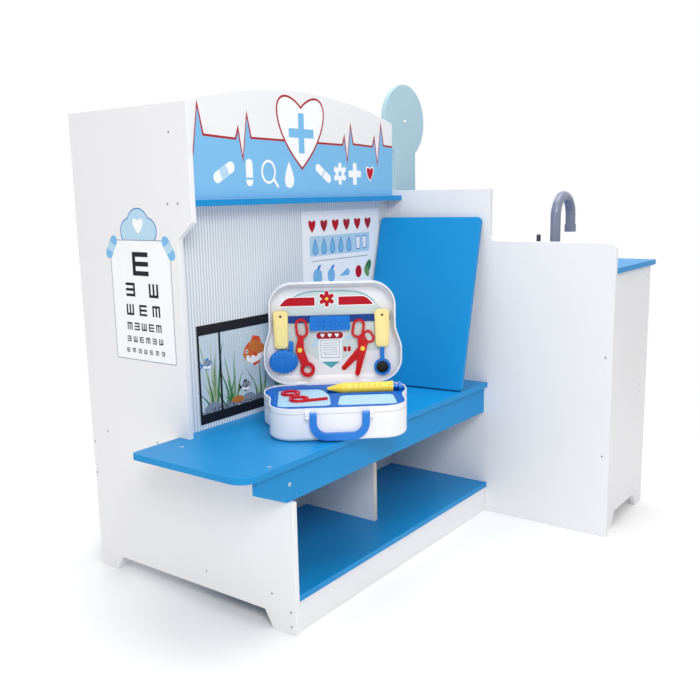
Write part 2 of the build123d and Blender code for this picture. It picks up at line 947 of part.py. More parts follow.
with BuildSketch() as case_plan:
    with BuildLine():
        FilletPolyline(
            (0, -case_half),
            (case_front_half, -case_half),
            (case_front_half, -case_half * waist_front_share),
            (case_rear_half, case_half * waist_rear_share),
            (case_rear_half, case_half),
            (0, case_half),
            radius=(case_corner, case_waist, case_waist, case_corner),
        )
        mirror(about=Plane.YZ)
    make_face()


def plan(inset):
    """The case's plan, drawn in by an inset, around the middle of the case."""
    return offset(case_plan.sketch, amount=-inset) if inset else case_plan.sketch


def lid_plan(inset):
    """The same plan for the open lid, with its hinge edge on the hinge line."""
    return Pos(0, case_half) * Rot(0, 0, 180) * plan(inset)


def tub(plane, outline, amount, round_off):
    """A block of an outline whose edges are rounded where it starts, on the plane."""
    with BuildPart() as block:
        with BuildSketch(plane):
            add(outline)
        extrude(amount=amount)
        start = faces().filter_by(plane).sort_by(Axis(plane.origin, plane.z_dir))[0]
        fillet(start.edges(), radius=round_off)
    return block.part


def plate(plane, outline, amount):
    """A plate of an outline, laid on a plane."""
    with BuildPart() as flat:
        with BuildSketch(plane):
            add(outline)
        extrude(amount=amount)
    return flat.part


def hinge_run(start, length, radius):
    """A round bar along the lid's hinge line."""
    with BuildPart() as bar:
        with BuildSketch(Plane(origin=lid_plane.from_local_coords((start, 0, 0)), z_dir=lid_plane.x_dir)):
            Circle(radius)
        extrude(amount=length)
    return bar.part


def tapered(start, start_radius, end, end_radius):
    """A flat bar with round ends of two radii."""
    with BuildSketch() as bar:
        with Locations(start):
            Circle(start_radius)
        with Locations(end):
            Circle(end_radius)
        make_hull()
    return bar.sketch


outer_plan = plan(0)
inner_plan = plan(case_wall)
tray_plan = plan(case_wall + rest_gap)
open_lid_plan = lid_plan(0)
lid_inner_plan = lid_plan(case_wall)
insert_plan = lid_plan(case_wall + insert_margin)
base_knuckles = (-hinge_spacing - knuckle_length, hinge_spacing)
lid_knuckles = (-hinge_spacing + rest_gap, hinge_spacing - knuckle_length - rest_gap)
handle_axis_z = case_base_height - handle_below_rim
handle_axis_y = -case_half - rest_gap - handle_thickness / 2
ear_start = handle_span / 2 + rest_gap
handle_plane = Plane(
    origin=case_plane.from_local_coords((0, handle_axis_y, handle_axis_z)),
    x_dir=case_plane.x_dir,
    z_dir=-case_plane.y_dir,
)


def handle_run(start, length, radius):
    """A round bar along the carrying handle's axis."""
    with BuildPart() as bar:
        with BuildSketch(Plane(origin=handle_plane.from_local_coords((start, 0, 0)), z_dir=case_plane.x_dir)):
            Circle(radius)
        extrude(amount=length)
    return bar.part


with BuildPart() as case_base:
    add(tub(case_plane, outer_plan, rim_z, case_bottom_round))
    add(tub(case_plane.offset(case_wall), inner_plan, case_base_height, case_bottom_round - case_wall),
        mode=Mode.SUBTRACT)
    with BuildSketch(case_plane.offset(case_wall)):
        with GridLocations(2 * post_x, 2 * post_y, 2, 2):
            Circle(post_radius)
    extrude(amount=tray_low - case_wall)
    with BuildSketch(handle_plane.offset(-handle_thickness / 2 - rest_gap - case_wall / 2)):
        with GridLocations(2 * ear_start + ear_width, 1, 2, 1):
            RectangleRounded(ear_width, ear_height, ear_height * moulded_corner_share)
    extrude(amount=ear_reach + case_wall / 2)
    for start in base_knuckles:
        add(hinge_run(start, knuckle_length, hinge_radius))
    for start in lid_knuckles:
        add(hinge_run(start - rest_gap, knuckle_length + 2 * rest_gap, hinge_radius + rest_gap),
            mode=Mode.SUBTRACT)
    for start in base_knuckles:
        add(hinge_run(start, knuckle_length, hinge_pin_radius), mode=Mode.SUBTRACT)
    for start in (-ear_start - ear_width, ear_start):
        add(handle_run(start, ear_width, hinge_pin_radius), mode=Mode.SUBTRACT)
finish(case_base.part, "case_base")

with BuildPart() as case_pins:
    for start in (base_knuckles[0], lid_knuckles[1]):
        add(hinge_run(start, 2 * knuckle_length + rest_gap, hinge_pin_radius))
    for start in (-ear_start - ear_width, ear_start - rest_gap - handle_rod):
        add(handle_run(start, ear_width + rest_gap + handle_rod, hinge_pin_radius))
finish(case_pins.part, "case_pins")

with BuildPart() as case_lid:
    add(tub(lid_plane.offset(-case_lid_depth), open_lid_plan, case_lid_depth - rim_gap / 2, lid_back_round))
    add(tub(lid_plane.offset(lid_floor), lid_inner_plan, case_lid_depth, lid_back_round - case_wall),
        mode=Mode.SUBTRACT)
    with BuildSketch(lid_plane.offset(-latch_recess_height)):
        with Locations((clip_middle, case_depth - latch_recess_depth / 2)):
            Rectangle(latch_recess_width, latch_recess_depth)
    extrude(amount=latch_recess_height, mode=Mode.SUBTRACT)
    for start in lid_knuckles:
        add(hinge_run(start, knuckle_length, hinge_radius))
    for start in base_knuckles:
        add(hinge_run(start - rest_gap, knuckle_length + 2 * rest_gap, hinge_radius + rest_gap),
            mode=Mode.SUBTRACT)
    for start in lid_knuckles:
        add(hinge_run(start, knuckle_length, hinge_pin_radius + running_fit), mode=Mode.SUBTRACT)
finish(case_lid.part, "case_lid")

# Carrying handle: a flat-sided bow on two pins
with BuildPart() as case_handle:
    handle_outer = handle_span / 2
    handle_inner = handle_outer - handle_rod
    with BuildSketch(handle_plane.offset(-handle_thickness / 2)):
        with BuildLine():
            FilletPolyline(
                (handle_outer, handle_thickness / 2),
                (handle_outer, -handle_drop),
                (-handle_outer, -handle_drop),
                (-handle_outer, handle_thickness / 2),
                (-handle_inner, handle_thickness / 2),
                (-handle_inner, -handle_drop + handle_rod),
                (handle_inner, -handle_drop + handle_rod),
                (handle_inner, handle_thickness / 2),
                radius=(0, handle_corner, handle_corner, 0, 0, handle_corner - handle_rod,
                        handle_corner - handle_rod, 0),
                close=True,
            )
        make_face()
    extrude(amount=handle_thickness)
    fillet(faces().sort_by(Axis.Z)[-2:].edges().filter_by(lambda rim: abs(rim.tangent_at(0).dot(
        case_plane.x_dir)) > 0.99), radius=handle_thickness * full_round_share)
    add(handle_run(-handle_outer, handle_span, hinge_pin_radius + running_fit), mode=Mode.SUBTRACT)
finish(case_handle.part, "case_handle")

# Tray in the case, with two pockets and a trough for the syringe
syringe_axis_z = tray_top - trough_depth + barrel_flange_radius
syringe_plane = Plane(
    origin=case_plane.from_local_coords((syringe_left, syringe_y, syringe_axis_z)),
    x_dir=case_plane.x_dir,
    z_dir=-case_plane.y_dir,
)
pocket_floor = tray_top - pocket_depth


def glasses_pocket(inset):
    """The five-sided pocket for the glasses."""
    with BuildSketch() as pocket:
        with BuildLine():
            FilletPolyline(
                (pocket_left + inset, pocket_front + inset),
                (pocket_middle - pocket_rib / 2 - inset, pocket_front + inset),
                (pocket_middle - pocket_rib / 2 - inset, syringe_y - trough_half - pocket_rib),
                (syringe_left - nozzle_taper_length - pocket_rib - inset, pocket_rear - inset),
                (pocket_left + inset, pocket_rear - inset),
                radius=pocket_corner - inset,
                close=True,
            )
        make_face()
    return pocket.sketch


def front_pocket(inset):
    """The long pocket along the front of the tray."""
    with BuildSketch() as pocket:
        with BuildLine():
            FilletPolyline(
                (pocket_middle + pocket_rib / 2 + inset, pocket_front + inset),
                (pocket_right - inset, pocket_front + inset),
                (pocket_right - inset, syringe_y - trough_half - pocket_rib - inset),
                (pocket_middle + pocket_corner + inset, syringe_y - trough_half - pocket_rib - inset),
                radius=pocket_corner * front_pocket_corner_share - inset,
                close=True,
            )
        make_face()
    return pocket.sketch


with BuildPart() as case_tray:
    with BuildSketch(case_plane.offset(tray_low)):
        add(tray_plan)
    extrude(amount=tray_thickness)
    with BuildSketch(case_plane.offset(tray_top)):
        add(glasses_pocket(0))
        add(front_pocket(0))
    extrude(amount=-pocket_depth, mode=Mode.SUBTRACT)
    with BuildSketch(case_plane.offset(tray_top)):
        with Locations((syringe_left - nozzle_taper_length - rest_gap, syringe_y)):
            Rectangle(trough_length, 2 * trough_half, align=(Align.MIN, Align.CENTER))
    extrude(amount=-trough_depth - rest_gap, mode=Mode.SUBTRACT)
finish(case_tray.part, "case_tray")
finish(plate(case_plane.offset(pocket_floor), glasses_pocket(rest_gap) + front_pocket(rest_gap),
             inlay_thickness), "tray_inlays")

# Printed insert, tool band and its clip in the lid
finish(plate(lid_plane.offset(lid_floor), insert_plan, insert_thickness), "lid_insert")

with BuildPart() as tool_band:
    with BuildSketch(lid_plane.offset(insert_top)):
        with Locations((0, band_middle)):
            RectangleRounded(band_length, band_height, band_height * moulded_corner_share)
        with Locations((clip_middle, clip_low + clip_height / 2)):
            RectangleRounded(clip_width, clip_height, band_height * moulded_corner_share)
    extrude(amount=band_thickness)
    with BuildSketch(lid_plane.offset(band_top)):
        with Locations((clip_middle, clip_low + clip_height / 2)):
            RectangleRounded(clip_width, clip_height, band_height * moulded_corner_share)
    extrude(amount=clip_thickness - band_thickness)
finish(tool_band.part, "tool_band")

# Instruments in the lid, each resting on the band
tool_base = band_top + rest_gap
grip_base = tool_base + rest_gap


def build_grip(middle, foot):
    """A flat handle with round corners, a little narrower at its foot."""
    with BuildPart() as grip:
        with BuildSketch(lid_plane.offset(grip_base)):
            Polygon(
                (middle - grip_foot_width / 2, foot),
                (middle + grip_foot_width / 2, foot),
                (middle + grip_width / 2, foot + grip_length),
                (middle - grip_width / 2, foot + grip_length),
            )
            fillet(vertices(), radius=grip_round)
        extrude(amount=grip_thickness)
        ease(Axis(lid_plane.origin, lid_plane.z_dir), grip_ease)
    return grip.part


def build_loop(middle, width, height, turn):
    """A flat finger loop around a middle, turned to lie along its arm."""
    with BuildSketch() as loop:
        with Locations(Location((middle[0], middle[1], 0), (0, 0, turn))):
            SlotOverall(height, width)
            SlotOverall(height - 2 * loop_rim, width - 2 * loop_rim, mode=Mode.SUBTRACT)
    return loop.sketch


def toward(start, end, distance):
    """The point at a distance from one point towards another."""
    way = Vector(*end) - Vector(*start)
    spot = Vector(*start) + way.normalized() * distance
    return (spot.X, spot.Y)


def turn_of(start, end):
    """The angle of the way from one point to another."""
    way = Vector(*end) - Vector(*start)
    return Vector(1, 0).get_signed_angle(way)


def build_half(low, pivot, loop_middle, width, height, working_end, bore):
    """One half of a pair of toy pliers or scissors, with its loop, arm and rivet hole."""
    loop_turn = turn_of(pivot, loop_middle)
    with BuildPart() as half:
        with BuildSketch(lid_plane.offset(low)):
            add(tapered(pivot, blade_radius, toward(loop_middle, pivot, height / 2), arm_radius))
            add(working_end)
            with Locations(Location((loop_middle[0], loop_middle[1], 0), (0, 0, loop_turn))):
                SlotOverall(height - 2 * loop_rim, width - 2 * loop_rim, mode=Mode.SUBTRACT)
            add(build_loop(loop_middle, width, height, loop_turn))
            with Locations(pivot):
                Circle(bore, mode=Mode.SUBTRACT)
        extrude(amount=blade_thickness)
    return half.part


def build_rivet(low, pivot):
    """The rivet of a pair, with a round head on top."""
    with BuildPart() as rivet:
        with BuildSketch(lid_plane.offset(low)):
            with Locations(pivot):
                Circle(rivet_radius)
        extrude(amount=2 * blade_thickness + rest_gap)
        with BuildSketch(lid_plane.offset(low + 2 * blade_thickness + rest_gap)):
            with Locations(pivot):
                Circle(rivet_head_radius)
        extrude(amount=rivet_head_height)
    return rivet.part


def build_jaw():
    """The forceps' arm that ends in a ring."""
    with BuildSketch() as jaw:
        add(tapered(forceps_pivot, blade_radius, forceps_jaw, jaw_arm_radius))
        with Locations(forceps_jaw):
            Circle(jaw_radius)
            Circle(jaw_bore_radius, mode=Mode.SUBTRACT)
    return jaw.sketch


far_low = insert_top + rest_gap
near_low = far_low + blade_thickness + rest_gap
loose_bore = rivet_radius + running_fit
jaw = build_jaw()
near_blade = tapered(scissors_pivot, blade_radius, scissors_tip, tip_radius)
far_blade = tapered(scissors_pivot, blade_radius, scissors_far_tip, tip_radius)
forceps_sizes = (forceps_pivot, forceps_loop, loop_width, loop_height, jaw)
finish(build_half(tool_base, *forceps_sizes, loose_bore), "forceps_under_half")
finish(build_half(tool_base + blade_thickness + rest_gap, *forceps_sizes, rivet_radius),
       "forceps_upper_half")
finish(build_rivet(tool_base, forceps_pivot), "forceps_rivet")
finish(build_half(far_low, scissors_pivot, scissors_far_loop, far_loop_width, far_loop_height, far_blade,
                  loose_bore), "scissors_under_half")
finish(build_half(near_low, scissors_pivot, scissors_loop, loop_width, loop_height, near_blade,
                  rivet_radius), "scissors_upper_half")
finish(build_rivet(far_low, scissors_pivot), "scissors_rivet")

finish(build_grip(horn_grip_x, horn_grip_foot), "horn_grip")
finish(build_grip(mirror_grip_x, mirror_grip_foot), "mirror_grip")

with BuildPart() as horn_head:
    horn_base = insert_top + rest_gap
    horn_knob_x = horn_grip_x + grip_foot_width / 2 + horn_knob_width / 2 + horn_knob_gap
    with BuildSketch(lid_plane.offset(horn_base)):
        with Locations((horn_x, horn_y)):
            Ellipse(horn_half_width, horn_half_height)
    extrude(amount=horn_thickness)
    ease(Axis(lid_plane.origin, lid_plane.z_dir), horn_ease)
    with BuildSketch(lid_plane.offset(grip_base + grip_thickness / 3)):
        with Locations((horn_knob_x, horn_grip_foot + horn_knob_rise)):
            RectangleRounded(horn_knob_width, horn_knob_height, horn_knob_width * horn_knob_round_share)
    extrude(amount=grip_thickness * horn_knob_share)
finish(horn_head.part, "horn_head")

with BuildPart() as mirror_ring:
    with BuildSketch(lid_plane.offset(grip_base)):
        with Locations((mirror_ring_x, mirror_ring_y)):
            Circle(mirror_ring_radius)
        Polygon(
            (mirror_ring_x - mirror_neck_width / 2, mirror_ring_y),
            (mirror_ring_x + mirror_neck_width / 2, mirror_ring_y),
            (mirror_ring_x + mirror_neck_width / 2, mirror_grip_foot),
            (mirror_ring_x - mirror_neck_width / 2, mirror_grip_foot),
        )
    extrude(amount=mirror_thickness)
    with BuildSketch(lid_plane.offset(grip_base + mirror_thickness - mirror_glass_recess)):
        with Locations((mirror_ring_x, mirror_ring_y)):
            Circle(mirror_glass_radius)
    extrude(amount=mirror_glass_recess, mode=Mode.SUBTRACT)
finish(mirror_ring.part, "mirror_ring")

with BuildPart() as mirror_glass:
    with BuildSketch(lid_plane.offset(grip_base + mirror_thickness - mirror_glass_recess)):
        with Locations((mirror_ring_x, mirror_ring_y)):
            Circle(mirror_glass_radius)
    extrude(amount=mirror_glass_recess / 2)
finish(mirror_glass.part, "mirror_glass")

# Syringe in its trough: barrel, and a plunger that draws out of it
barrel_inner = barrel_bore_radius + running_fit
with BuildPart() as syringe_barrel:
    with BuildSketch(syringe_plane):
        Polygon(
            (-nozzle_taper_length, 0),
            (-nozzle_taper_length, nozzle_tip_radius),
            (0, barrel_radius),
            (syringe_barrel_length - barrel_flange_thickness, barrel_radius),
            (syringe_barrel_length - barrel_flange_thickness, barrel_flange_radius),
            (syringe_barrel_length, barrel_flange_radius),
            (syringe_barrel_length, barrel_inner),
            (0, barrel_inner),
            (0, 0),
        )
    revolve(axis=Axis(syringe_plane.origin, syringe_plane.x_dir))
finish(syringe_barrel.part, "syringe_barrel")

with BuildPart() as syringe_plunger:
    thumb_start = syringe_barrel_length + plunger_stand
    with BuildSketch(syringe_plane):
        Polygon(
            (piston_gap, 0),
            (piston_gap, barrel_bore_radius),
            (piston_gap + piston_length, barrel_bore_radius),
            (piston_gap + piston_length, plunger_radius),
            (thumb_start, plunger_radius),
            (thumb_start, thumb_radius),
            (thumb_start + thumb_thickness, thumb_radius),
            (thumb_start + thumb_thickness, 0),
        )
    revolve(axis=Axis(syringe_plane.origin, syringe_plane.x_dir))
finish(syringe_plunger.part, "syringe_plunger")

# Toy glasses in their pocket
glasses_low = pocket_floor + inlay_thickness + rest_gap
with BuildPart() as toy_glasses:
    with BuildSketch(
        Plane(
            origin=case_plane.from_local_coords((glasses_x, glasses_y, glasses_low)),
            x_dir=case_plane.from_local_coords((cos(radians(glasses_turn)), sin(radians(glasses_turn)), 0))
            - case_plane.origin,
            z_dir=(0, 0, 1),
        )
    ):
        with Locations((0, 0)):
            Rectangle(lens_spacing, temple_width)
        with GridLocations(lens_spacing, 1, 2, 1):
            Circle(lens_radius)
        with GridLocations(lens_spacing, 1, 2, 1):
            Circle(lens_bore_radius, mode=Mode.SUBTRACT)
        with Locations((lens_spacing / 2 + lens_radius - temple_width / 2, 0)):
            Rectangle(temple_width, temple_length, align=(Align.CENTER, Align.MIN))
    extrude(amount=glasses_thickness)
finish(toy_glasses.part, "toy_glasses")

# Screws with flush heads and hexagonal sockets, alike everywhere
with BuildPart() as screw:
    with BuildSketch(Plane.XY.offset(-screw_head_height)):
        Circle(screw_head_radius)
    extrude(amount=screw_head_height)
    with BuildSketch(Plane.XY.offset(-screw_length)):
        Circle(screw_shank_radius)
    extrude(amount=screw_length - screw_head_height)
    with BuildSketch():
        RegularPolygon(socket_radius, 6)
    extrude(amount=-socket_depth, mode=Mode.SUBTRACT)

for name, places in (
    ("bench_screws", left_screws + apron_screws + seat_screws),
    ("divider_screws", divider_screws + right_screws),
    ("cabinet_screws", front_end_screws + back_end_screws),
):
    finish(Compound(children=[screw.part.moved(place) for place in places]), name)
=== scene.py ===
"""Looks of a toy play clinic: a bench and header wall, a sink cabinet, a loose board and a doctor's case.

The boards, the tap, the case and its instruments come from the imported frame. This script gives each of
them its finish, adds the prints, the moulded trim and the ribbed horn, and sets up the studio.
"""

import json
import logging
from dataclasses import dataclass, field
from enum import Enum
from functools import cached_property
from typing import ClassVar

import bmesh
import bpy
import numpy as np
from mathutils import Matrix, Vector


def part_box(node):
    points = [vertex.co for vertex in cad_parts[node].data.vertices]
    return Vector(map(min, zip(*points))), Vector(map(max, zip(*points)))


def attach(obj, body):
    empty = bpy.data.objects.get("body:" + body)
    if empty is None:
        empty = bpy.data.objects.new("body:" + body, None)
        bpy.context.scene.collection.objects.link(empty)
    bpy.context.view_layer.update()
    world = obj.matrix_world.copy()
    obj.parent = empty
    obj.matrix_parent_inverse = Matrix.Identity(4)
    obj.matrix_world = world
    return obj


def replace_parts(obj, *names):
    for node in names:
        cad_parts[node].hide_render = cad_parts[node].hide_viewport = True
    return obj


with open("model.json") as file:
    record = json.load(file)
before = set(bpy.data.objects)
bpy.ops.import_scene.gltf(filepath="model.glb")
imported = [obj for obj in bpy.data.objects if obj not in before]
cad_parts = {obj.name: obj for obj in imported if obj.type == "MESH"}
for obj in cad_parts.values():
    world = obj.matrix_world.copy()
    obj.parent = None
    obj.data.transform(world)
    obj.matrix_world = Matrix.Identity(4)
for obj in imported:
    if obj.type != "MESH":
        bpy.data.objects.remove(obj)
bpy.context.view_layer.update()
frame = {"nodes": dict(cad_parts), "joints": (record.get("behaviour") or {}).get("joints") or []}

log = logging.getLogger("play_clinic")
MM = 0.001
WELD = 0.0002 * MM
RIGHT, BACK, UP = Vector((1.0, 0.0, 0.0)), Vector((0.0, 1.0, 0.0)), Vector((0.0, 0.0, 1.0))
Array = np.ndarray
Tree, Node, Socket = bpy.types.NodeTree, bpy.types.Node, bpy.types.NodeSocket


class Tone(Enum):
    """Colours of the paints, plastics and inks, as they look under plain white light."""

    PANEL_WHITE = "#EDEDEF"
    BOARD_BLUE = "#108DCE"
    HEAD_BLUE = "#AFCFDA"
    STRIPE_WHITE = "#EFF1F3"
    STRIPE_GREY = "#C6CFD7"
    RAW_FIBRE = "#D9D2C6"
    STEEL = "#7C7E84"
    TAP_GREY = "#787F95"
    LEVER_DARK = "#3C404A"
    BASIN_GREY = "#D3D8E0"
    DIAL_WHITE = "#F4F6F6"
    SHELL_WHITE = "#EEEEF1"
    CASE_BLUE = "#0C62BC"
    BAR_NAVY = "#123F8C"
    INLAY_BLUE = "#9CD6EE"
    CARD_TEAL = "#D2DEDC"
    POINT_TEAL = "#58A9B2"
    GRIP_YELLOW = "#FEEA9E"
    SYRINGE_YELLOW = "#FCD84E"
    TOOL_RED = "#CC0310"
    HORN_BLUE = "#1578D2"
    MIRROR_DARK = "#3A3F45"
    INK_RED = "#BC1224"
    INK_LINE_RED = "#A8232C"
    INK_SKY = "#7DBBE6"
    INK_PALE = "#B8D8EC"
    INK_BLUE = "#1E78CC"
    INK_BLACK = "#1B1D24"
    INK_GREY = "#8E98A6"
    INK_WHITE = "#F7F9FB"
    INK_GREEN = "#3F7A4C"
    INK_LEAF = "#6F9A5C"
    INK_SAGE = "#A5B48C"
    INK_CORAL = "#D9512C"
    INK_ORANGE = "#C8763C"
    INK_SAND = "#B9A68A"
    INK_STONE = "#8890A0"
    WATER_TOP = "#B9D0DC"
    WATER_LOW = "#DCE9EF"
    FLOOR = "#FCFCFC"
    PURE_WHITE = "#FFFFFF"

    @property
    def linear(self) -> tuple[float, float, float, float]:
        """The tone in linear light.

        Returns:
            Red, green, blue and full opacity, each from 0 to 1.
        """
        shown = np.array([int(self.value[i : i + 2], 16) for i in (1, 3, 5)]) / 255
        red, green, blue = np.where(shown <= 0.04045, shown / 12.92, ((shown + 0.055) / 1.055) ** 2.4)
        return float(red), float(green), float(blue), 1.0


@dataclass
class Wiring:
    """A node tree, with short ways to add the nodes that finishes are made of."""

    tree: Tree

    def wire(self, node: Node, inputs: dict[str | int, object]) -> Node:
        """Links each named input of a node to a socket, or sets it to a plain value.

        Args:
            node: the node.
            inputs: which socket or value goes into each input.

        Returns:
            The node.
        """
        for label, source in inputs.items():
            if isinstance(source, Socket):
                self.tree.links.new(source, node.inputs[label])
            else:
                node.inputs[label].default_value = source
        return node

    def add(self, kind: str, inputs: dict[str | int, object], **settings: object) -> Node:
        """Adds a node.

        Args:
            kind: Blender's name of the node's type.
            inputs: which socket or value goes into each input.
            settings: the node's own settings.

        Returns:
            The node.
        """
        node = self.tree.nodes.new(kind)
        for name, value in settings.items():
            setattr(node, name, value)
        return self.wire(node, inputs)

    def math(self, kind: str, *sources: object, clamp: bool = False) -> Socket:
        """The result of a math node of a kind, fed with sockets or numbers."""
        inputs = dict(enumerate(sources))
        return self.add("ShaderNodeMath", inputs, operation=kind, use_clamp=clamp).outputs[0]

    def mix(self, kind: str, first: object, second: object, share: Socket) -> Socket:
        """A colour mix of a kind, from the first colour to the second by a share."""
        inputs = {"Factor": share, 6: first, 7: second}
        return self.add("ShaderNodeMix", inputs, data_type="RGBA", blend_type=kind).outputs[2]

    def noise(self, vector: Socket, scale: object, detail: float) -> Socket:
        """A noise texture read at a vector."""
        inputs = {"Vector": vector, "Scale": scale, "Detail": detail}
        return self.add("ShaderNodeTexNoise", inputs).outputs["Fac"]

    def where(self) -> Socket:
        """The place of a point in the piece's own coordinates."""
        return self.add("ShaderNodeTexCoord", {}).outputs["Object"]

    def use(self, group: Tree, inputs: dict[str, object]) -> Node:
        """Places a shared group, with its own values or links."""
        return self.add("ShaderNodeGroup", inputs, node_tree=group)

    def blend_shaders(self, share: Socket, first: Node, second: Node, end: Node) -> None:
        """Sends a blend of two shaders, by a share, to the surface of an output node."""
        mix = self.add("ShaderNodeMixShader", {0: share, 1: first.outputs[0], 2: second.outputs[0]})
        self.wire(end, {"Surface": mix.outputs[0]})


class ShaderParts:
    """Shader node groups that several finishes share. Each is made once, when it is first asked for."""

    def open_group(
        self, name: str, inputs: dict[str, str], outputs: dict[str, str]
    ) -> tuple[Wiring, Node, Node]:
        """Makes an empty group with its sockets.

        Args:
            name: the group's name.
            inputs: socket name to kind, where kind is Float, Color or Vector.
            outputs: the same for what the group gives back.

        Returns:
            The group's wiring, its input node and its output node.
        """
        group = bpy.data.node_groups.new(name, "ShaderNodeTree")
        for way, sockets in (("INPUT", inputs), ("OUTPUT", outputs)):
            for label, kind in sockets.items():
                group.interface.new_socket(label, in_out=way, socket_type="NodeSocket" + kind)
        given, end = group.nodes.new("NodeGroupInput"), group.nodes.new("NodeGroupOutput")
        return Wiring(group), given, end

    @cached_property
    def skin(self) -> Tree:
        """Painted or moulded skin: broad soft changes of colour and gloss, and a fine relief.

        Returns:
            The group. Colour = the given colour darkened by a broad noise times Shade.
            Height = a fine noise.
        """
        inputs = {"Colour": "Color", "Shade": "Float", "Grain": "Float", "Roughness": "Float"}
        outputs = {"Colour": "Color", "Roughness": "Float", "Height": "Float"}
        wires, given, end = self.open_group("skin", inputs, outputs)
        where = wires.where()
        fine = wires.noise(where, given.outputs["Grain"], 4.0)
        both = wires.math("MULTIPLY_ADD", fine, 0.35, wires.noise(where, 4.0, 3.0))
        amount = wires.math("MULTIPLY", both, given.outputs["Shade"])
        tint = wires.mix("MULTIPLY", given.outputs["Colour"], (0.4, 0.42, 0.46, 1.0), amount)
        gloss = wires.math("MULTIPLY_ADD", both, 0.16, given.outputs["Roughness"])
        wires.wire(end, {"Colour": tint, "Roughness": gloss, "Height": fine})
        return wires.tree

    @cached_property
    def speckle(self) -> Tree:
        """Small flecks of a second colour, as on raw fibreboard or gravel.

        Returns:
            The group. Colour = the first colour where a fine noise is low, the fleck colour
            where it is high.
        """
        inputs = {"Colour": "Color", "Fleck": "Color", "Scale": "Float", "Share": "Float"}
        wires, given, end = self.open_group("speckle", inputs, {"Colour": "Color"})
        fine = wires.noise(wires.where(), given.outputs["Scale"], 5.0)
        above = wires.math("SUBTRACT", fine, given.outputs["Share"])
        mask = wires.math("MULTIPLY", above, 9.0, clamp=True)
        mix = wires.mix("MIX", given.outputs["Colour"], given.outputs["Fleck"], mask)
        wires.wire(end, {"Colour": mix})
        return wires.tree

    @cached_property
    def bands(self) -> Tree:
        """Soft parallel bands along a coordinate.

        Returns:
            The group. Mask = a half plus Edge times the sine of the place over the pitch, cut off at
            0 and 1.
        """
        inputs = {"Place": "Float", "Pitch": "Float", "Edge": "Float"}
        wires, given, end = self.open_group("bands", inputs, {"Mask": "Float"})
        turns = wires.math("DIVIDE", given.outputs["Place"], given.outputs["Pitch"])
        wave = wires.math("SINE", wires.math("MULTIPLY", turns, 2 * np.pi))
        steep = wires.math("MULTIPLY", wave, given.outputs["Edge"])
        wires.wire(end, {"Mask": wires.math("ADD", steep, 0.5, clamp=True)})
        return wires.tree

    @cached_property
    def along(self) -> Tree:
        """How far a point lies along a direction, in metres, past a level.

        Returns:
            The group. Place = the point's dot product with Direction, less Level.
        """
        inputs = {"Direction": "Vector", "Level": "Float"}
        wires, given, end = self.open_group("along", inputs, {"Place": "Float"})
        vectors = {0: wires.where(), 1: given.outputs["Direction"]}
        dot = wires.add("ShaderNodeVectorMath", vectors, operation="DOT_PRODUCT")
        past = wires.math("SUBTRACT", dot.outputs["Value"], given.outputs["Level"])
        wires.wire(end, {"Place": past})
        return wires.tree

    @cached_property
    def drawn(self) -> Tree:
        """Long fine lines as on drawn metal.

        Returns:
            The group. Height = a noise that is stretched along the height of the piece.
        """
        wires, given, end = self.open_group("drawn", {"Scale": "Float"}, {"Height": "Float"})
        stretch = wires.add("ShaderNodeMapping", {"Vector": wires.where(), "Scale": (1.0, 1.0, 0.08)})
        fine = wires.noise(stretch.outputs["Vector"], given.outputs["Scale"], 2.0)
        wires.wire(end, {"Height": fine})
        return wires.tree


@dataclass(frozen=True)
class Finish:
    """A finish: its colour, gloss and fine relief. Kinds of finish add a pattern of their own."""

    name: str
    tone: Tone
    roughness: float = 0.36
    shade: float = 0.06
    grain: float = 700.0
    relief: float = 0.03
    metallic: float = 0.0
    coat: float = 0.0
    specular: float = 0.4
    relief_depth: ClassVar[float] = 0.0002
    coat_roughness: ClassVar[float] = 0.12
    noise_roughness: ClassVar[float] = 0.08

    def pattern(self, wires: Wiring, parts: ShaderParts) -> Socket | tuple:
        """The colour that goes into the skin: by default the plain tone."""
        return self.tone.linear

    def height(self, wires: Wiring, parts: ShaderParts, skin: Node) -> Socket:
        """The height that the relief follows: by default the skin's own fine noise."""
        return skin.outputs["Height"]

    def material(self, parts: ShaderParts) -> bpy.types.Material:
        """The finish as a material, made once.

        Args:
            parts: the shared shader groups.

        Returns:
            The material, whose colour, roughness and normal come from nodes.
        """
        known = bpy.data.materials.get(self.name)
        if known:
            return known
        made = bpy.data.materials.new(self.name)
        made.use_nodes = True
        wires = Wiring(made.node_tree)
        gloss = self.roughness - self.noise_roughness
        values = {"Shade": self.shade, "Grain": self.grain, "Roughness": gloss}
        skin = wires.use(parts.skin, {"Colour": self.pattern(wires, parts), **values})
        relief = {"Strength": self.relief, "Distance": self.relief_depth}
        bump = wires.add("ShaderNodeBump", {**relief, "Height": self.height(wires, parts, skin)})
        plain = {
            "Metallic": self.metallic,
            "Coat Weight": self.coat,
            "Coat Roughness": self.coat_roughness,
            "Specular IOR Level": self.specular,
        }
        linked = {"Base Color": skin.outputs["Colour"], "Roughness": skin.outputs["Roughness"]}
        shader = wires.tree.nodes["Principled BSDF"]
        wires.wire(shader, {**plain, **linked, "Normal": bump.outputs["Normal"]})
        return made


@dataclass(frozen=True)
class Speckled(Finish):
    """A finish with small flecks of a second tone all over."""

    fleck: Tone = Tone.INK_GREY
    fleck_scale: float = 500.0
    fleck_share: float = 0.55

    def pattern(self, wires: Wiring, parts: ShaderParts) -> Socket:
        """The tone with its flecks."""
        values = {"Fleck": self.fleck.linear, "Scale": self.fleck_scale, "Share": self.fleck_share}
        return wires.use(parts.speckle, {"Colour": self.tone.linear, **values}).outputs["Colour"]


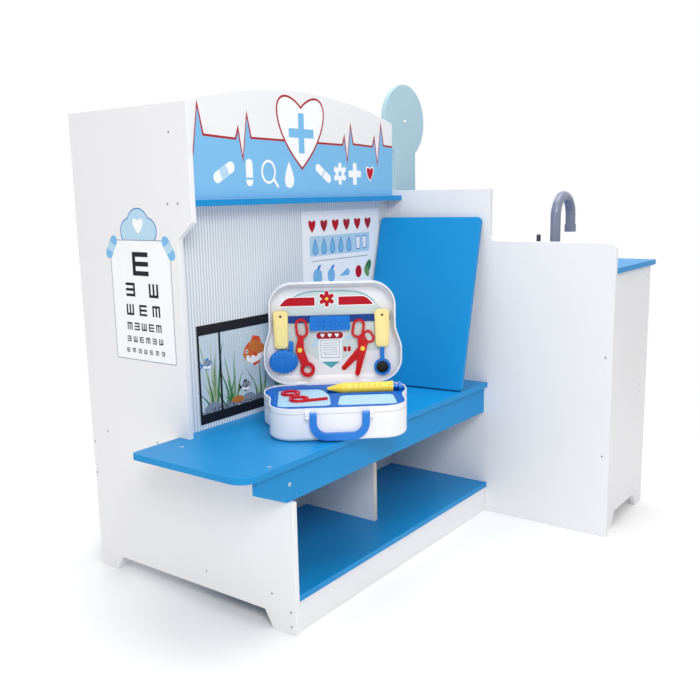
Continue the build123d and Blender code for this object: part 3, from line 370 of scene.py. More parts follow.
@dataclass(frozen=True)
class Striped(Finish):
    """A finish with soft parallel stripes of a second tone, printed or moulded."""

    stripe: Tone = Tone.STRIPE_GREY
    pitch: float = 0.0076
    edge: float = 0.8
    direction: tuple[float, float, float] = (1.0, 0.0, 0.0)

    def pattern(self, wires: Wiring, parts: ShaderParts) -> Socket:
        """The tone with its stripes along the direction.

        Args:
            wires: the material's nodes.
            parts: the shared shader groups.

        Returns:
            The colour's socket.
        """
        place = wires.use(parts.along, {"Direction": self.direction, "Level": 0.0}).outputs["Place"]
        bands = wires.use(parts.bands, {"Place": place, "Pitch": self.pitch, "Edge": self.edge})
        return wires.mix("MIX", self.tone.linear, self.stripe.linear, bands.outputs["Mask"])


@dataclass(frozen=True)
class TwoTone(Finish):
    """A finish that changes to a second tone past a level along a direction."""

    second: Tone = Tone.RAW_FIBRE
    direction: tuple[float, float, float] = (0.0, 0.0, 1.0)
    level: float = 0.0
    flecked: bool = False
    steepness: ClassVar[float] = 20000.0

    def pattern(self, wires: Wiring, parts: ShaderParts) -> Socket:
        """The tone, and past the level the second tone, with flecks where it is raw board.

        Args:
            wires: the material's nodes.
            parts: the shared shader groups.

        Returns:
            The colour's socket.
        """
        place = wires.use(parts.along, {"Direction": self.direction, "Level": self.level})
        past = wires.math("MULTIPLY", place.outputs["Place"], self.steepness, clamp=True)
        other: object = self.second.linear
        if self.flecked:
            values = {"Colour": other, "Fleck": Tone.INK_SAND.linear, "Scale": 420.0, "Share": 0.56}
            other = wires.use(parts.speckle, values).outputs["Colour"]
        return wires.mix("MIX", self.tone.linear, other, past)


@dataclass(frozen=True)
class ShellWithPaintedStepShade(Finish):
    """A moulded shell with a fine darker line all round at one height: painted shade of a small step
    there.
    """

    step_height: float = 0.4
    step_width: ClassVar[float] = 0.0011
    step_shade: ClassVar[float] = 0.75

    def pattern(self, wires: Wiring, parts: ShaderParts) -> Socket:
        """The tone, with painted shade in the step: full in its middle and none a width above and below.

        Args:
            wires: the material's nodes.
            parts: the shared shader groups.

        Returns:
            The colour's socket.
        """
        place = wires.use(parts.along, {"Direction": tuple(UP), "Level": self.step_height})
        away = wires.math("ABSOLUTE", place.outputs["Place"])
        step = wires.math("SUBTRACT", 1.0, wires.math("DIVIDE", away, self.step_width), clamp=True)
        # The grey mixed in here is painted shade of the step, not a colour of the plastic.
        painted_step_shade = wires.math("MULTIPLY", step, self.step_shade)
        return wires.mix("MIX", self.tone.linear, Tone.INK_GREY.linear, painted_step_shade)


@dataclass(frozen=True)
class DrawnMetal(Finish):
    """Metal with fine lines along its height."""

    line_scale: ClassVar[float] = 1400.0

    def height(self, wires: Wiring, parts: ShaderParts, skin: Node) -> Socket:
        """The drawn lines."""
        return wires.use(parts.drawn, {"Scale": self.line_scale}).outputs["Height"]


BOARD = {"roughness": 0.36, "grain": 420.0, "relief": 0.05, "specular": 0.22}
PLASTIC = {"roughness": 0.24, "grain": 900.0, "relief": 0.03, "shade": 0.05, "specular": 0.28}
MATT_PLASTIC = {**PLASTIC, "roughness": 0.4, "specular": 0.12}
INK = {"roughness": 0.42, "grain": 1500.0, "relief": 0.02, "shade": 0.04, "specular": 0.15}
WHITE_PAINT = Finish("white_paint", Tone.PANEL_WHITE, shade=0.05, **BOARD)
BLUE_PAINT = Finish("blue_paint", Tone.BOARD_BLUE, shade=0.12, **BOARD)
STEEL = {"roughness": 0.42, "metallic": 0.8, "relief": 0.12, "specular": 0.2}
SCREW_STEEL = DrawnMetal("screw_steel", Tone.STEEL, **STEEL)


def ink(tone: Tone) -> Finish:
    """A printed ink of a tone."""
    return Finish("ink_" + tone.name.lower(), tone, **INK)


def turned(points: Array, degrees: float) -> Array:
    """Flat points turned about zero, anticlockwise."""
    cos, sin = np.cos(np.radians(degrees)), np.sin(np.radians(degrees))
    return points @ np.array([[cos, sin], [-sin, cos]])


def level_line(left: float, right: float, y: float) -> Array:
    """The two ends of a level line."""
    return np.array([[left, y], [right, y]])


def oval(x: float, y: float, wide: float, high: float, turn: float = 0.0, count: int = 40) -> Array:
    """Outline of an ellipse: a point goes once round, x by the cosine and y by the sine of its angle.

    Args:
        x: middle, across.
        y: middle, up.
        wide: half of its width.
        high: half of its height.
        turn: how far it is turned, in degrees.
        count: points in the outline.

    Returns:
        An array of points, one row each.
    """
    angle = np.linspace(0, 2 * np.pi, count, endpoint=False)
    return turned(np.column_stack([wide * np.cos(angle), high * np.sin(angle)]), turn) + (x, y)


def plate(x: float, y: float, wide: float, high: float, corner: float = 0.0, turn: float = 0.0) -> Array:
    """Outline of a rectangle with round corners: a quarter circle about each corner's own middle.

    Args:
        x: middle, across.
        y: middle, up.
        wide: width.
        high: height.
        corner: radius of the corners.
        turn: how far it is turned, in degrees.

    Returns:
        An array of points, one row each.
    """
    quarter, share = np.repeat(np.arange(4), 8), np.tile(np.linspace(0, 1, 8), 4)
    angle = (quarter + share) * np.pi / 2
    side = np.array([[1, 1], [-1, 1], [-1, -1], [1, -1]])[quarter]
    middle = side * (wide / 2 - corner, high / 2 - corner)
    return turned(middle + corner * np.column_stack([np.cos(angle), np.sin(angle)]), turn) + (x, y)


def heart(x: float, y: float, wide: float, high: float) -> Array:
    """Outline of a heart: a circle whose points rise by a power of their distance from the middle line.

    Args:
        x: middle, across.
        y: middle, up.
        wide: width.
        high: height.

    Returns:
        An array of points, one row each.
    """
    t = np.linspace(0, 2 * np.pi, 72, endpoint=False)
    up = np.cos(t) + 0.85 * np.abs(np.sin(t)) ** 0.9
    middle, tall = (up.max() + up.min()) / 2, np.ptp(up)
    return np.column_stack([np.sin(t) * wide / 2, (up - middle) * high / tall]) + (x, y)


def petals(x: float, y: float, radius: float, count: int, depth: float) -> Array:
    """Outline of a round flower: the radius rises and falls as a squared cosine.

    Args:
        x: middle, across.
        y: middle, up.
        radius: largest radius.
        count: number of petals.
        depth: how far the radius falls between them, as a share of it.

    Returns:
        An array of points, one row each.
    """
    t = np.linspace(0, 2 * np.pi, 24 * count, endpoint=False)
    reach = radius * (1 - depth * (0.5 - 0.5 * np.cos(count * t)) ** 2)
    return np.column_stack([reach * np.sin(t), reach * np.cos(t)]) + (x, y)


def drop(x: float, y: float, radius: float) -> Array:
    """Outline of a drop: a circle whose width narrows to a point at the top.

    Args:
        x: middle, across.
        y: middle, up.
        radius: radius before it is narrowed.

    Returns:
        An array of points, one row each.
    """
    t = np.linspace(0, 2 * np.pi, 40, endpoint=False)
    across = radius * np.sin(t) * np.sin(t / 2) ** 1.4
    return np.column_stack([across, 1.35 * radius * np.cos(t)]) + (x, y)


def filled(outline: Array) -> Array:
    """Grid of a filled figure: its middle is the first row and its closed outline the second."""
    grid = np.stack([np.broadcast_to(outline.mean(0), outline.shape), outline])
    return np.concatenate([grid, grid[:, :1]], axis=1)


def stroke(path: Array, width: float, closed: bool = False) -> Array:
    """Grid of a line of even width: a point moves half of it to both sides, further at a sharp corner.

    Args:
        path: points along the line.
        width: the line's width.
        closed: whether its end meets its start.

    Returns:
        A grid of two rows.
    """
    points = np.vstack([path[-1:], path, path[:2]]) if closed else path
    steps = np.diff(points, axis=0)
    steps = steps / np.maximum(np.linalg.norm(steps, axis=1, keepdims=True), 1e-9)
    before, after = np.vstack([steps[:1], steps]), np.vstack([steps, steps[-1:]])
    mean = before + after
    mean = mean / np.maximum(np.linalg.norm(mean, axis=1, keepdims=True), 1e-9)
    stretch = 1 / np.maximum((mean * after).sum(1, keepdims=True), 0.3)
    side = np.column_stack([-mean[:, 1], mean[:, 0]]) * stretch * width / 2
    grid = np.stack([points - side, points + side])
    return grid[:, 1:-1] if closed else grid


def between(x: Array, low: Array | float, high: Array | float) -> Array:
    """Grid of the area between two curves over the same places."""
    return np.stack([np.column_stack([x, np.full_like(x, side)]) for side in (low, high)])


def quads(rows: int, columns: int, closed: bool = False) -> Array:
    """Faces of a grid of points. Each joins a point to its neighbours in the next row and column.

    Args:
        rows: the grid's rows.
        columns: the grid's columns.
        closed: whether the last column meets the first.

    Returns:
        Four point numbers in each row.
    """
    index = np.arange(rows * columns).reshape(rows, columns)
    if closed:
        index = np.hstack([index, index[:, :1]])
    corners = (index[:-1, :-1], index[:-1, 1:], index[1:, 1:], index[1:, :-1])
    return np.stack(corners, axis=-1).reshape(-1, 4)


def put_in_scene(name: str, data: bpy.types.ID) -> bpy.types.Object:
    """Makes an object of its data and links it to the scene.

    Args:
        name: the object's name.
        data: its mesh, camera or lamp.

    Returns:
        The object.
    """
    made = bpy.data.objects.new(name, data)
    bpy.context.scene.collection.objects.link(made)
    return made


@dataclass(frozen=True)
class Sheet:
    """A flat place to print on, in millimetres: its start, and what is right, up and out there."""

    origin: Vector
    right: Vector
    up: Vector
    out: Vector

    def place(self, flat: Array, lift: float) -> Array:
        """Points of the sheet in the frame of the whole, lifted off it by millimetres."""
        across, up = flat[..., :1] * np.array(self.right), flat[..., 1:2] * np.array(self.up)
        return np.array(self.origin) + (across + up + lift * np.array(self.out)) * MM


@dataclass
class Piece:
    """A mesh that is put together from grids of points, each with its own finish."""

    name: str
    body: str
    slot: str
    parts: ShaderParts
    points: list[Array] = field(default_factory=list)
    faces: list[Array] = field(default_factory=list)
    marks: list[Array] = field(default_factory=list)
    finishes: list[Finish] = field(default_factory=list)
    count: int = 0

    def add(self, grid: Array, finish: Finish, closed: bool = False) -> None:
        """Adds a grid of points in rows and columns; closed means that the last column meets the first."""
        self.add_faces(grid.reshape(-1, 3), quads(*grid.shape[:2], closed) + self.count, finish)

    def add_faces(self, points: Array, faces: Array, finish: Finish) -> None:
        """Adds points and the faces between them.

        Args:
            points: one row each, in metres.
            faces: point numbers, counted from the piece's first point.
            finish: what they are painted with.
        """
        if finish not in self.finishes:
            self.finishes.append(finish)
        self.points.append(points)
        self.faces.append(faces)
        self.marks.append(np.full(len(faces), self.finishes.index(finish), np.int32))
        self.count += len(points)

    def build(self, smooth: bool = True, solid: bool = True) -> bpy.types.Object:
        """Makes the object, closes its seams and lets it ride on its body.

        Args:
            smooth: whether its faces are shaded as one soft surface.
            solid: whether it is a closed shell, whose faces are turned outwards.

        Returns:
            The object, at the origin, with its place in its mesh.
        """
        mesh = bpy.data.meshes.new(self.name)
        faces = [face for block in self.faces for face in block.tolist()]
        mesh.from_pydata(np.vstack(self.points).tolist(), [], faces)
        for finish in self.finishes:
            mesh.materials.append(finish.material(self.parts))
        mesh.polygons.foreach_set("material_index", np.concatenate(self.marks))
        mesh.polygons.foreach_set("use_smooth", np.full(len(mesh.polygons), smooth))
        shell = bmesh.new()
        shell.from_mesh(mesh)
        bmesh.ops.remove_doubles(shell, verts=shell.verts, dist=WELD)
        bmesh.ops.dissolve_degenerate(shell, edges=shell.edges, dist=WELD)
        if solid:
            bmesh.ops.recalc_face_normals(shell, faces=shell.faces)
        shell.to_mesh(mesh)
        shell.free()
        made = put_in_scene(self.name, mesh)
        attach(made, self.body)
        log.info("built %s on %s: %d faces", self.name, self.body, len(mesh.polygons))
        return made


@dataclass
class Print(Piece):
    """Flat figures on a sheet. Later layers lie a twentieth of a millimetre above earlier ones."""

    sheet: Sheet | None = None
    first_lift: float = 0.06
    drawn: int = 0
    layer_step: ClassVar[float] = 0.05
    order_step: ClassVar[float] = 0.0008

    def next_lift(self, layer: int) -> float:
        """How far the next figure lies off the sheet: by its layer, and a hair more than the last one."""
        self.drawn += 1
        return self.first_lift + layer * self.layer_step + self.drawn * self.order_step

    def draw(self, grid: Array, tone: Tone, layer: int = 0, finish: Finish | None = None) -> None:
        """Adds a flat figure in an ink, turned to face out of the sheet.

        Args:
            grid: the figure's points on the sheet, in millimetres.
            tone: the ink's tone.
            layer: how many prints lie under it.
            finish: another finish than the ink, where the place is not plain.
        """
        along, across = grid[:-1, 1:] - grid[:-1, :-1], grid[1:, :-1] - grid[:-1, :-1]
        turn = (along[..., 0] * across[..., 1] - along[..., 1] * across[..., 0]).sum()
        if turn < 0:
            grid = grid[:, ::-1]
        self.add(self.sheet.place(grid, self.next_lift(layer)), finish or ink(tone))

    def fill(self, outline: Array, tone: Tone, layer: int = 0) -> None:
        """Draws a filled figure."""
        self.draw(filled(outline), tone, layer)

    def line(self, path: Array, width: float, tone: Tone, layer: int = 0, closed: bool = False) -> None:
        """Draws a line of even width, closed or not."""
        self.draw(stroke(path, width, closed), tone, layer)

    def write(self, text: str, x: float, y: float, high: float, tone: Tone) -> None:
        """Adds a number, set with its middle at a point.

        Args:
            text: the number's digits.
            x: middle, across.
            y: middle, up.
            high: height of a digit.
            tone: the ink's tone.
        """
        curve = bpy.data.curves.new(self.name + "_digits", "FONT")
        curve.body, curve.size, curve.resolution_u = text, 1.0, 3
        letter = bpy.data.objects.new(self.name + "_digits", curve)
        shape = bpy.data.meshes.new_from_object(letter)
        flat = np.zeros(len(shape.vertices) * 3)
        shape.vertices.foreach_get("co", flat)
        flat = flat.reshape(-1, 3)[:, :2]
        size = np.ptp(flat, axis=0)
        flat = (flat - flat.min(0) - size / 2) * high / size[1] + (x, y)
        loops = np.zeros(len(shape.loops), np.int64)
        shape.loops.foreach_get("vertex_index", loops)
        triangles = loops.reshape(-1, 3) + self.count
        self.add_faces(self.sheet.place(flat, self.next_lift(0)), triangles, ink(tone))
        bpy.data.objects.remove(letter)
        bpy.data.curves.remove(curve)
        bpy.data.meshes.remove(shape)

    def build(self, smooth: bool = False, solid: bool = False) -> bpy.types.Object:
        """Makes the object as a piece does, but flat and open."""
        return super().build(smooth, solid)


def bulge(middle: Array, axes: Array, half: tuple[float, float, float], power: float = 1.0) -> Array:
    """Closed egg-like surface: latitude by longitude, with its sines and cosines raised to a power.

    Args:
        middle: its middle, in metres.
        axes: three unit directions, one row each.
        half: half sizes along them, in millimetres.
        power: 1 for an ellipsoid, less for a boxier one.

    Returns:
        A grid of 17 latitudes and 32 longitudes.
    """
    up = np.linspace(-np.pi / 2, np.pi / 2, 17)[:, None]
    round_ = np.linspace(0, 2 * np.pi, 32, endpoint=False)[None, :]

    def eased(value: Array) -> Array:
        """The value's size raised to the power, with its own sign."""
        return np.sign(value) * np.abs(value) ** power

    level = eased(np.sin(up)) * np.ones_like(round_)
    ways = (eased(np.cos(up)) * eased(np.cos(round_)), eased(np.cos(up)) * eased(np.sin(round_)), level)
    return middle + np.stack(ways, axis=-1) * half @ axes * MM


def turned_profile(centre: Array, axis: Array, profile: Array, count: int = 40) -> Array:
    """Surface of a profile that is carried round an axis.

    Args:
        centre: a point on the axis, in metres.
        axis: the axis' unit direction.
        profile: rows of distance along the axis and radius, in millimetres.
        count: points round the axis.

    Returns:
        A grid of profile points by angles.
    """
    side = np.cross(axis, (0.31, 0.52, 0.79))
    side = side / np.linalg.norm(side)
    other = np.cross(axis, side)
    angle = np.linspace(0, 2 * np.pi, count, endpoint=False)
    spoke = np.cos(angle)[:, None] * side + np.sin(angle)[:, None] * other
    return centre + (profile[:, :1, None] * axis + profile[:, 1:, None] * spoke[None]) * MM


class CaseFrame:
    """The doctor's case's own directions: across it, towards its hinge, up, and out of the open lid."""

    half_depth = 107.5
    base_height = 65.0

    def __init__(self) -> None:
        """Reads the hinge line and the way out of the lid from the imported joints."""
        joints = {joint["name"]: joint for joint in frame["joints"]}
        self.across = -Vector(joints["lid_hinge"]["axis"]).normalized()
        self.out = Vector(joints["forceps_pull"]["axis"]).normalized()
        self.hinge = Vector(joints["lid_hinge"]["pos_m"])
        self.axes = np.array([self.across, UP, self.out])

    def lid_sheet(self, depth: float) -> Sheet:
        """A flat place in the open lid, at a depth along the way out, in millimetres."""
        return Sheet(self.hinge + self.out * depth * MM, self.across, UP, self.out)

    def tray_sheet(self, level: float) -> Sheet:
        """A level place in the case, at a height over its bottom, measured from its middle."""
        middle = self.hinge + self.out * self.half_depth * MM + UP * (level - self.base_height) * MM
        return Sheet(middle, self.across, -self.out, UP)


@dataclass
class SubAssembly:
    """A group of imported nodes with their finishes, and the new pieces that belong to it.

    The corner is where the boards are measured from: left face, front edge of the left side, floor.
    """

    parts: ShaderParts
    corner: Vector
    case: CaseFrame
    finishes: ClassVar[dict[str, Finish]] = {}

    def dress(self) -> None:
        """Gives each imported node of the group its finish."""
        for node, finish in self.finishes.items():
            made = frame["nodes"][node]
            made.data.materials.clear()
            made.data.materials.append(finish.material(self.parts))
            log.info("dressed %s with %s", node, finish.name)

    def build(self) -> None:
        """Makes the group's new pieces. A group without any makes none."""

    def front_sheet(self, node: str) -> Sheet:
        """The front face of a board, with its places measured from the corner."""
        return Sheet(Vector((self.corner.x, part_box(node)[0].y, 0.0)), RIGHT, UP, -BACK)


class WaitingBench(SubAssembly):
    """The bench with its feet, shelf, striped wall and header."""

    white = ("left_side_panel", "divider_panel", "bench_toe_kick", "header_board", "rear_rail")
    blue = ("bench_seat", "bench_apron", "seat_cleat", "leaning_leaf", "bench_lower_shelf", "header_shelf")
    raw_depth = 0.0007
    finishes = {
        **dict.fromkeys(white, WHITE_PAINT),
        **dict.fromkeys((*blue, "rear_shelf"), BLUE_PAINT),
        **dict.fromkeys(("bench_screws", "divider_screws"), SCREW_STEEL),
        "wall_panel": Striped("striped_wall", Tone.STRIPE_WHITE, roughness=0.4, grain=900.0, relief=0.03),
    }

    def dress(self) -> None:
        """Also dresses the partition with its raw front edge."""
        edge = {"direction": tuple(-BACK), "level": -(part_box("bench_partition")[0].y + self.raw_depth)}
        raw = TwoTone("raw_edge_board", Tone.PANEL_WHITE, flecked=True, grain=420.0, relief=0.06, **edge)
        self.finishes = {**self.finishes, "bench_partition": raw}
        super().dress()


class SinkCabinet(SubAssembly):
    """The sink cabinet with its doors, basin, tap and the column with the dial."""

    white = ("cabinet_end_panel", "cabinet_bottom", "cabinet_shelf", "cabinet_rail")
    tap = ("basin_drain", "tap_collar", "tap_spout", "tap_nozzle")
    lever = Finish("lever_plastic", Tone.LEVER_DARK, coat=0.12, **PLASTIC)
    finishes = {
        **dict.fromkeys((*white, "door_front", "door_back"), WHITE_PAINT),
        **dict.fromkeys(("countertop", "door_knob_front", "door_knob_back"), BLUE_PAINT),
        **dict.fromkeys(("cabinet_screws", "door_pins", "dial_pivot"), SCREW_STEEL),
        **dict.fromkeys(tap, Finish("tap_plastic", Tone.TAP_GREY, coat=0.5, **PLASTIC)),
        **dict.fromkeys(("lever_base", "tap_lever"), lever),
        "column_board": Finish("pale_blue_paint", Tone.HEAD_BLUE, **BOARD),
        "basin": Finish("basin_plastic", Tone.BASIN_GREY, **PLASTIC),
        "dial_disc": Finish("dial_plastic", Tone.DIAL_WHITE, **PLASTIC),
        "dial_pointer": Finish("pointer_plastic", Tone.TOOL_RED, **PLASTIC),
    }
    rim_inset, rim_width = 4.0, 3.2
    number_inset, number_height = 24.0, 13.0
    tick_top = 6.5
    long_tick, short_tick = (13.0, 2.4), (9.5, 1.0)

    def build(self) -> None:
        """Prints the dial's face: twelve numbers, and a mark for each fifth of the way between them."""
        low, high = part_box("dial_disc")
        middle = Vector(((low.x + high.x) / 2, high.y, (low.z + high.z) / 2))
        radius = (high.x - low.x) / 2 / MM
        face = Sheet(middle, -RIGHT, UP, BACK)
        dial = Print("dial_print", "frame", "dial_white", self.parts, sheet=face, first_lift=0.04)
        rim = oval(0, 0, radius - self.rim_inset, radius - self.rim_inset, count=96)
        dial.line(rim, self.rim_width, Tone.INK_SKY, closed=True)
        for tick in range(60):
            foot, width = self.short_tick if tick % 5 else self.long_tick
            spoke = np.array([[0.0, radius - foot], [0.0, radius - self.tick_top]])
            dial.line(turned(spoke, -6.0 * tick), width, Tone.INK_BLUE)
        for hour in range(1, 13):
            place = turned(np.array([[0.0, radius - self.number_inset]]), -30.0 * hour)[0]
            dial.write(str(hour), place[0], place[1], self.number_height, Tone.INK_BLUE)
        dial.build()


class DoctorCase(SubAssembly):
    """The case: shell, tray, lid with its printed card, and the band that holds the instruments."""

    finishes = {
        "case_lid": Finish("shell_plastic", Tone.SHELL_WHITE, **PLASTIC),
        "case_handle": Finish("handle_plastic", Tone.HORN_BLUE, coat=0.15, **PLASTIC),
        "case_tray": Finish("tray_plastic", Tone.CASE_BLUE, **MATT_PLASTIC),
        "case_pins": SCREW_STEEL,
        "lid_insert": Finish("card_board", Tone.SHELL_WHITE, **INK),
    }
    step_below_rim = 0.0115
    card_depth = -31.4
    band_above_card = 3.9
    point_x = -4.0
    flower = (-10.0, 177.0)
    label = (-5.5, 97.5)
    banner_foot, banner_top, banner_cut = 163, 181, 16
    clip_front = -20.4
    peg_ends = (-29, 21)
    peg_rows = ((131.0, 2.1), (122.5, 3.1))
    tray_level = 62.0
    scallop_corner = (-128.0, -66.0)
    scallop_size = (9.5, 100.0, 5.2)

    def dress(self) -> None:
        """Also dresses what follows the case's own directions: the shell, the band and the inlays."""
        # The shell's grey line below the rim is painted shade of a step.
        height = self.case.hinge.z - self.step_below_rim
        shell = ShellWithPaintedStepShade("shell_painted_step_shade", Tone.SHELL_WHITE, step_height=height, **PLASTIC)
        out = self.case.out
        level = out.dot(self.case.hinge) + (self.card_depth + self.band_above_card) * MM
        front = {"second": Tone.HORN_BLUE, "direction": tuple(out), "level": level}
        band = TwoTone("band_plastic", Tone.BAR_NAVY, **front, **PLASTIC)
        across = tuple(self.case.across)
        ribs = {"stripe": Tone.INK_PALE, "pitch": 0.0065, "edge": 0.3, "direction": across}
        inlay = Striped("inlay_film", Tone.INLAY_BLUE, roughness=0.35, **ribs)
        self.finishes = {**self.finishes, "case_base": shell, "tool_band": band, "tray_inlays": inlay}
        super().dress()

    def draw_banner(self, card: Print, left: float, right: float, round_left: bool) -> None:
        """Draws a red banner with a white edge, whose outer upper corner is cut off in a curve.

        Args:
            card: the print that it is added to.
            left: its left end.
            right: its right end.
            round_left: whether the curve is at the left end.
        """
        t = np.linspace(0, 1, 16)
        away = t if round_left else 1 - t
        for grow, tone, layer in ((1.8, Tone.INK_WHITE, 1), (0.0, Tone.INK_RED, 2)):
            x = left - grow + (right - left + 2 * grow) * t
            top = self.banner_top + grow - self.banner_cut * (1 - np.clip(away * 3.2, 0, 1)) ** 2
            card.draw(between(x, self.banner_foot - grow, top), tone, layer)

    def build_card(self) -> None:
        """Prints the lid's card: a panel with a point below, banners, a flower, a label and a notice."""
        face = self.case.lid_sheet(self.card_depth)
        card = Print("lid_card", "lid", "insert_print", self.parts, sheet=face)
        x = np.linspace(-112, 108, 56)
        top = 196 - 46 * np.abs((x + 2) / 110) ** 4
        away = np.abs(x - self.point_x)
        foot = np.where(away < 52, 26 + 0.69 * away, 62)
        inner = away < 26
        card.draw(between(x, foot, top), Tone.CARD_TEAL)
        card.draw(between(x[inner], foot[inner], 44), Tone.POINT_TEAL, 1)
        card.line(np.column_stack([x, top - 2.5])[4:-4], 2.0, Tone.POINT_TEAL, 1)
        self.draw_banner(card, -110, -36, True)
        self.draw_banner(card, 15, 88, False)
        card.fill(petals(*self.flower, 19.5, 6, 0.36), Tone.INK_WHITE, 1)
        card.fill(petals(*self.flower, 17, 6, 0.42), Tone.INK_RED, 2)
        card.fill(oval(*self.flower, 3.4, 3.4), Tone.SYRINGE_YELLOW, 3)
        card.fill(plate(*self.label, 62, 18, 7.5), Tone.INK_WHITE, 1)
        card.fill(plate(*self.label, 58, 14.5, 6.5), Tone.INK_LINE_RED, 2)
        for shift in (-15.5, 0.0, 15.5):
            card.fill(heart(self.label[0] + shift, self.label[1], 8.5, 8.5), Tone.INK_WHITE, 3)
        card.fill(plate(-5, 66, 50, 52, 2), Tone.INK_WHITE, 1)
        card.line(plate(-5, 68, 40, 38, 1), 1.2, Tone.INK_GREY, 2, True)
        for level in np.linspace(56, 81, 6):
            card.line(level_line(-21.0, 11.0, level), 1.1, Tone.INK_GREY, 3)
        for across in (27.0, 36.0):
            card.fill(plate(across, 67, 7, 11, 1.5), Tone.INK_RED, 2)
        for across, level in ((34, 92), (-33, 88), (-40, 78)):
            card.fill(petals(across, level, 6, 5, 0.4), Tone.INK_PALE, 1)
        card.build()

    def build_pegs(self) -> None:
        """Makes two rows of small round pegs on the clip."""
        pegs = Piece("clip_pegs", "lid", "case_blue", self.parts)
        sheet = self.case.lid_sheet(self.clip_front)
        for across in np.linspace(*self.peg_ends, 5):
            for level, size in self.peg_rows:
                middle = sheet.place(np.array([across, level]), 0.4)
                egg = bulge(middle, self.case.axes, (size, size, 1.9))
                pegs.add(egg, self.finishes["case_handle"], closed=True)
        pegs.build()

    def build_scallops(self) -> None:
        """Makes the scallops at the tray's left end: their height is the size of a sine along it."""
        scallops = Piece("tray_scallops", "case", "case_blue", self.parts)
        wide, long, high = self.scallop_size
        s, t = np.linspace(0, 1, 9)[:, None], np.linspace(0, 1, 73)[None, :]
        flat = np.stack([wide * s + 0 * t, long * t + 0 * s], axis=-1) + self.scallop_corner
        rise = high * np.abs(np.sin(4 * np.pi * t)) ** 0.5 * np.sin(np.pi * s) ** 0.5 - 0.2
        top = self.case.tray_sheet(self.tray_level).place(flat, rise[..., None])
        scallops.add(top, self.finishes["case_tray"])
        scallops.build(solid=False)

    def build(self) -> None:
        """Makes the card, the pegs and the tray's scallops."""
        self.build_card()
        self.build_pegs()
        self.build_scallops()


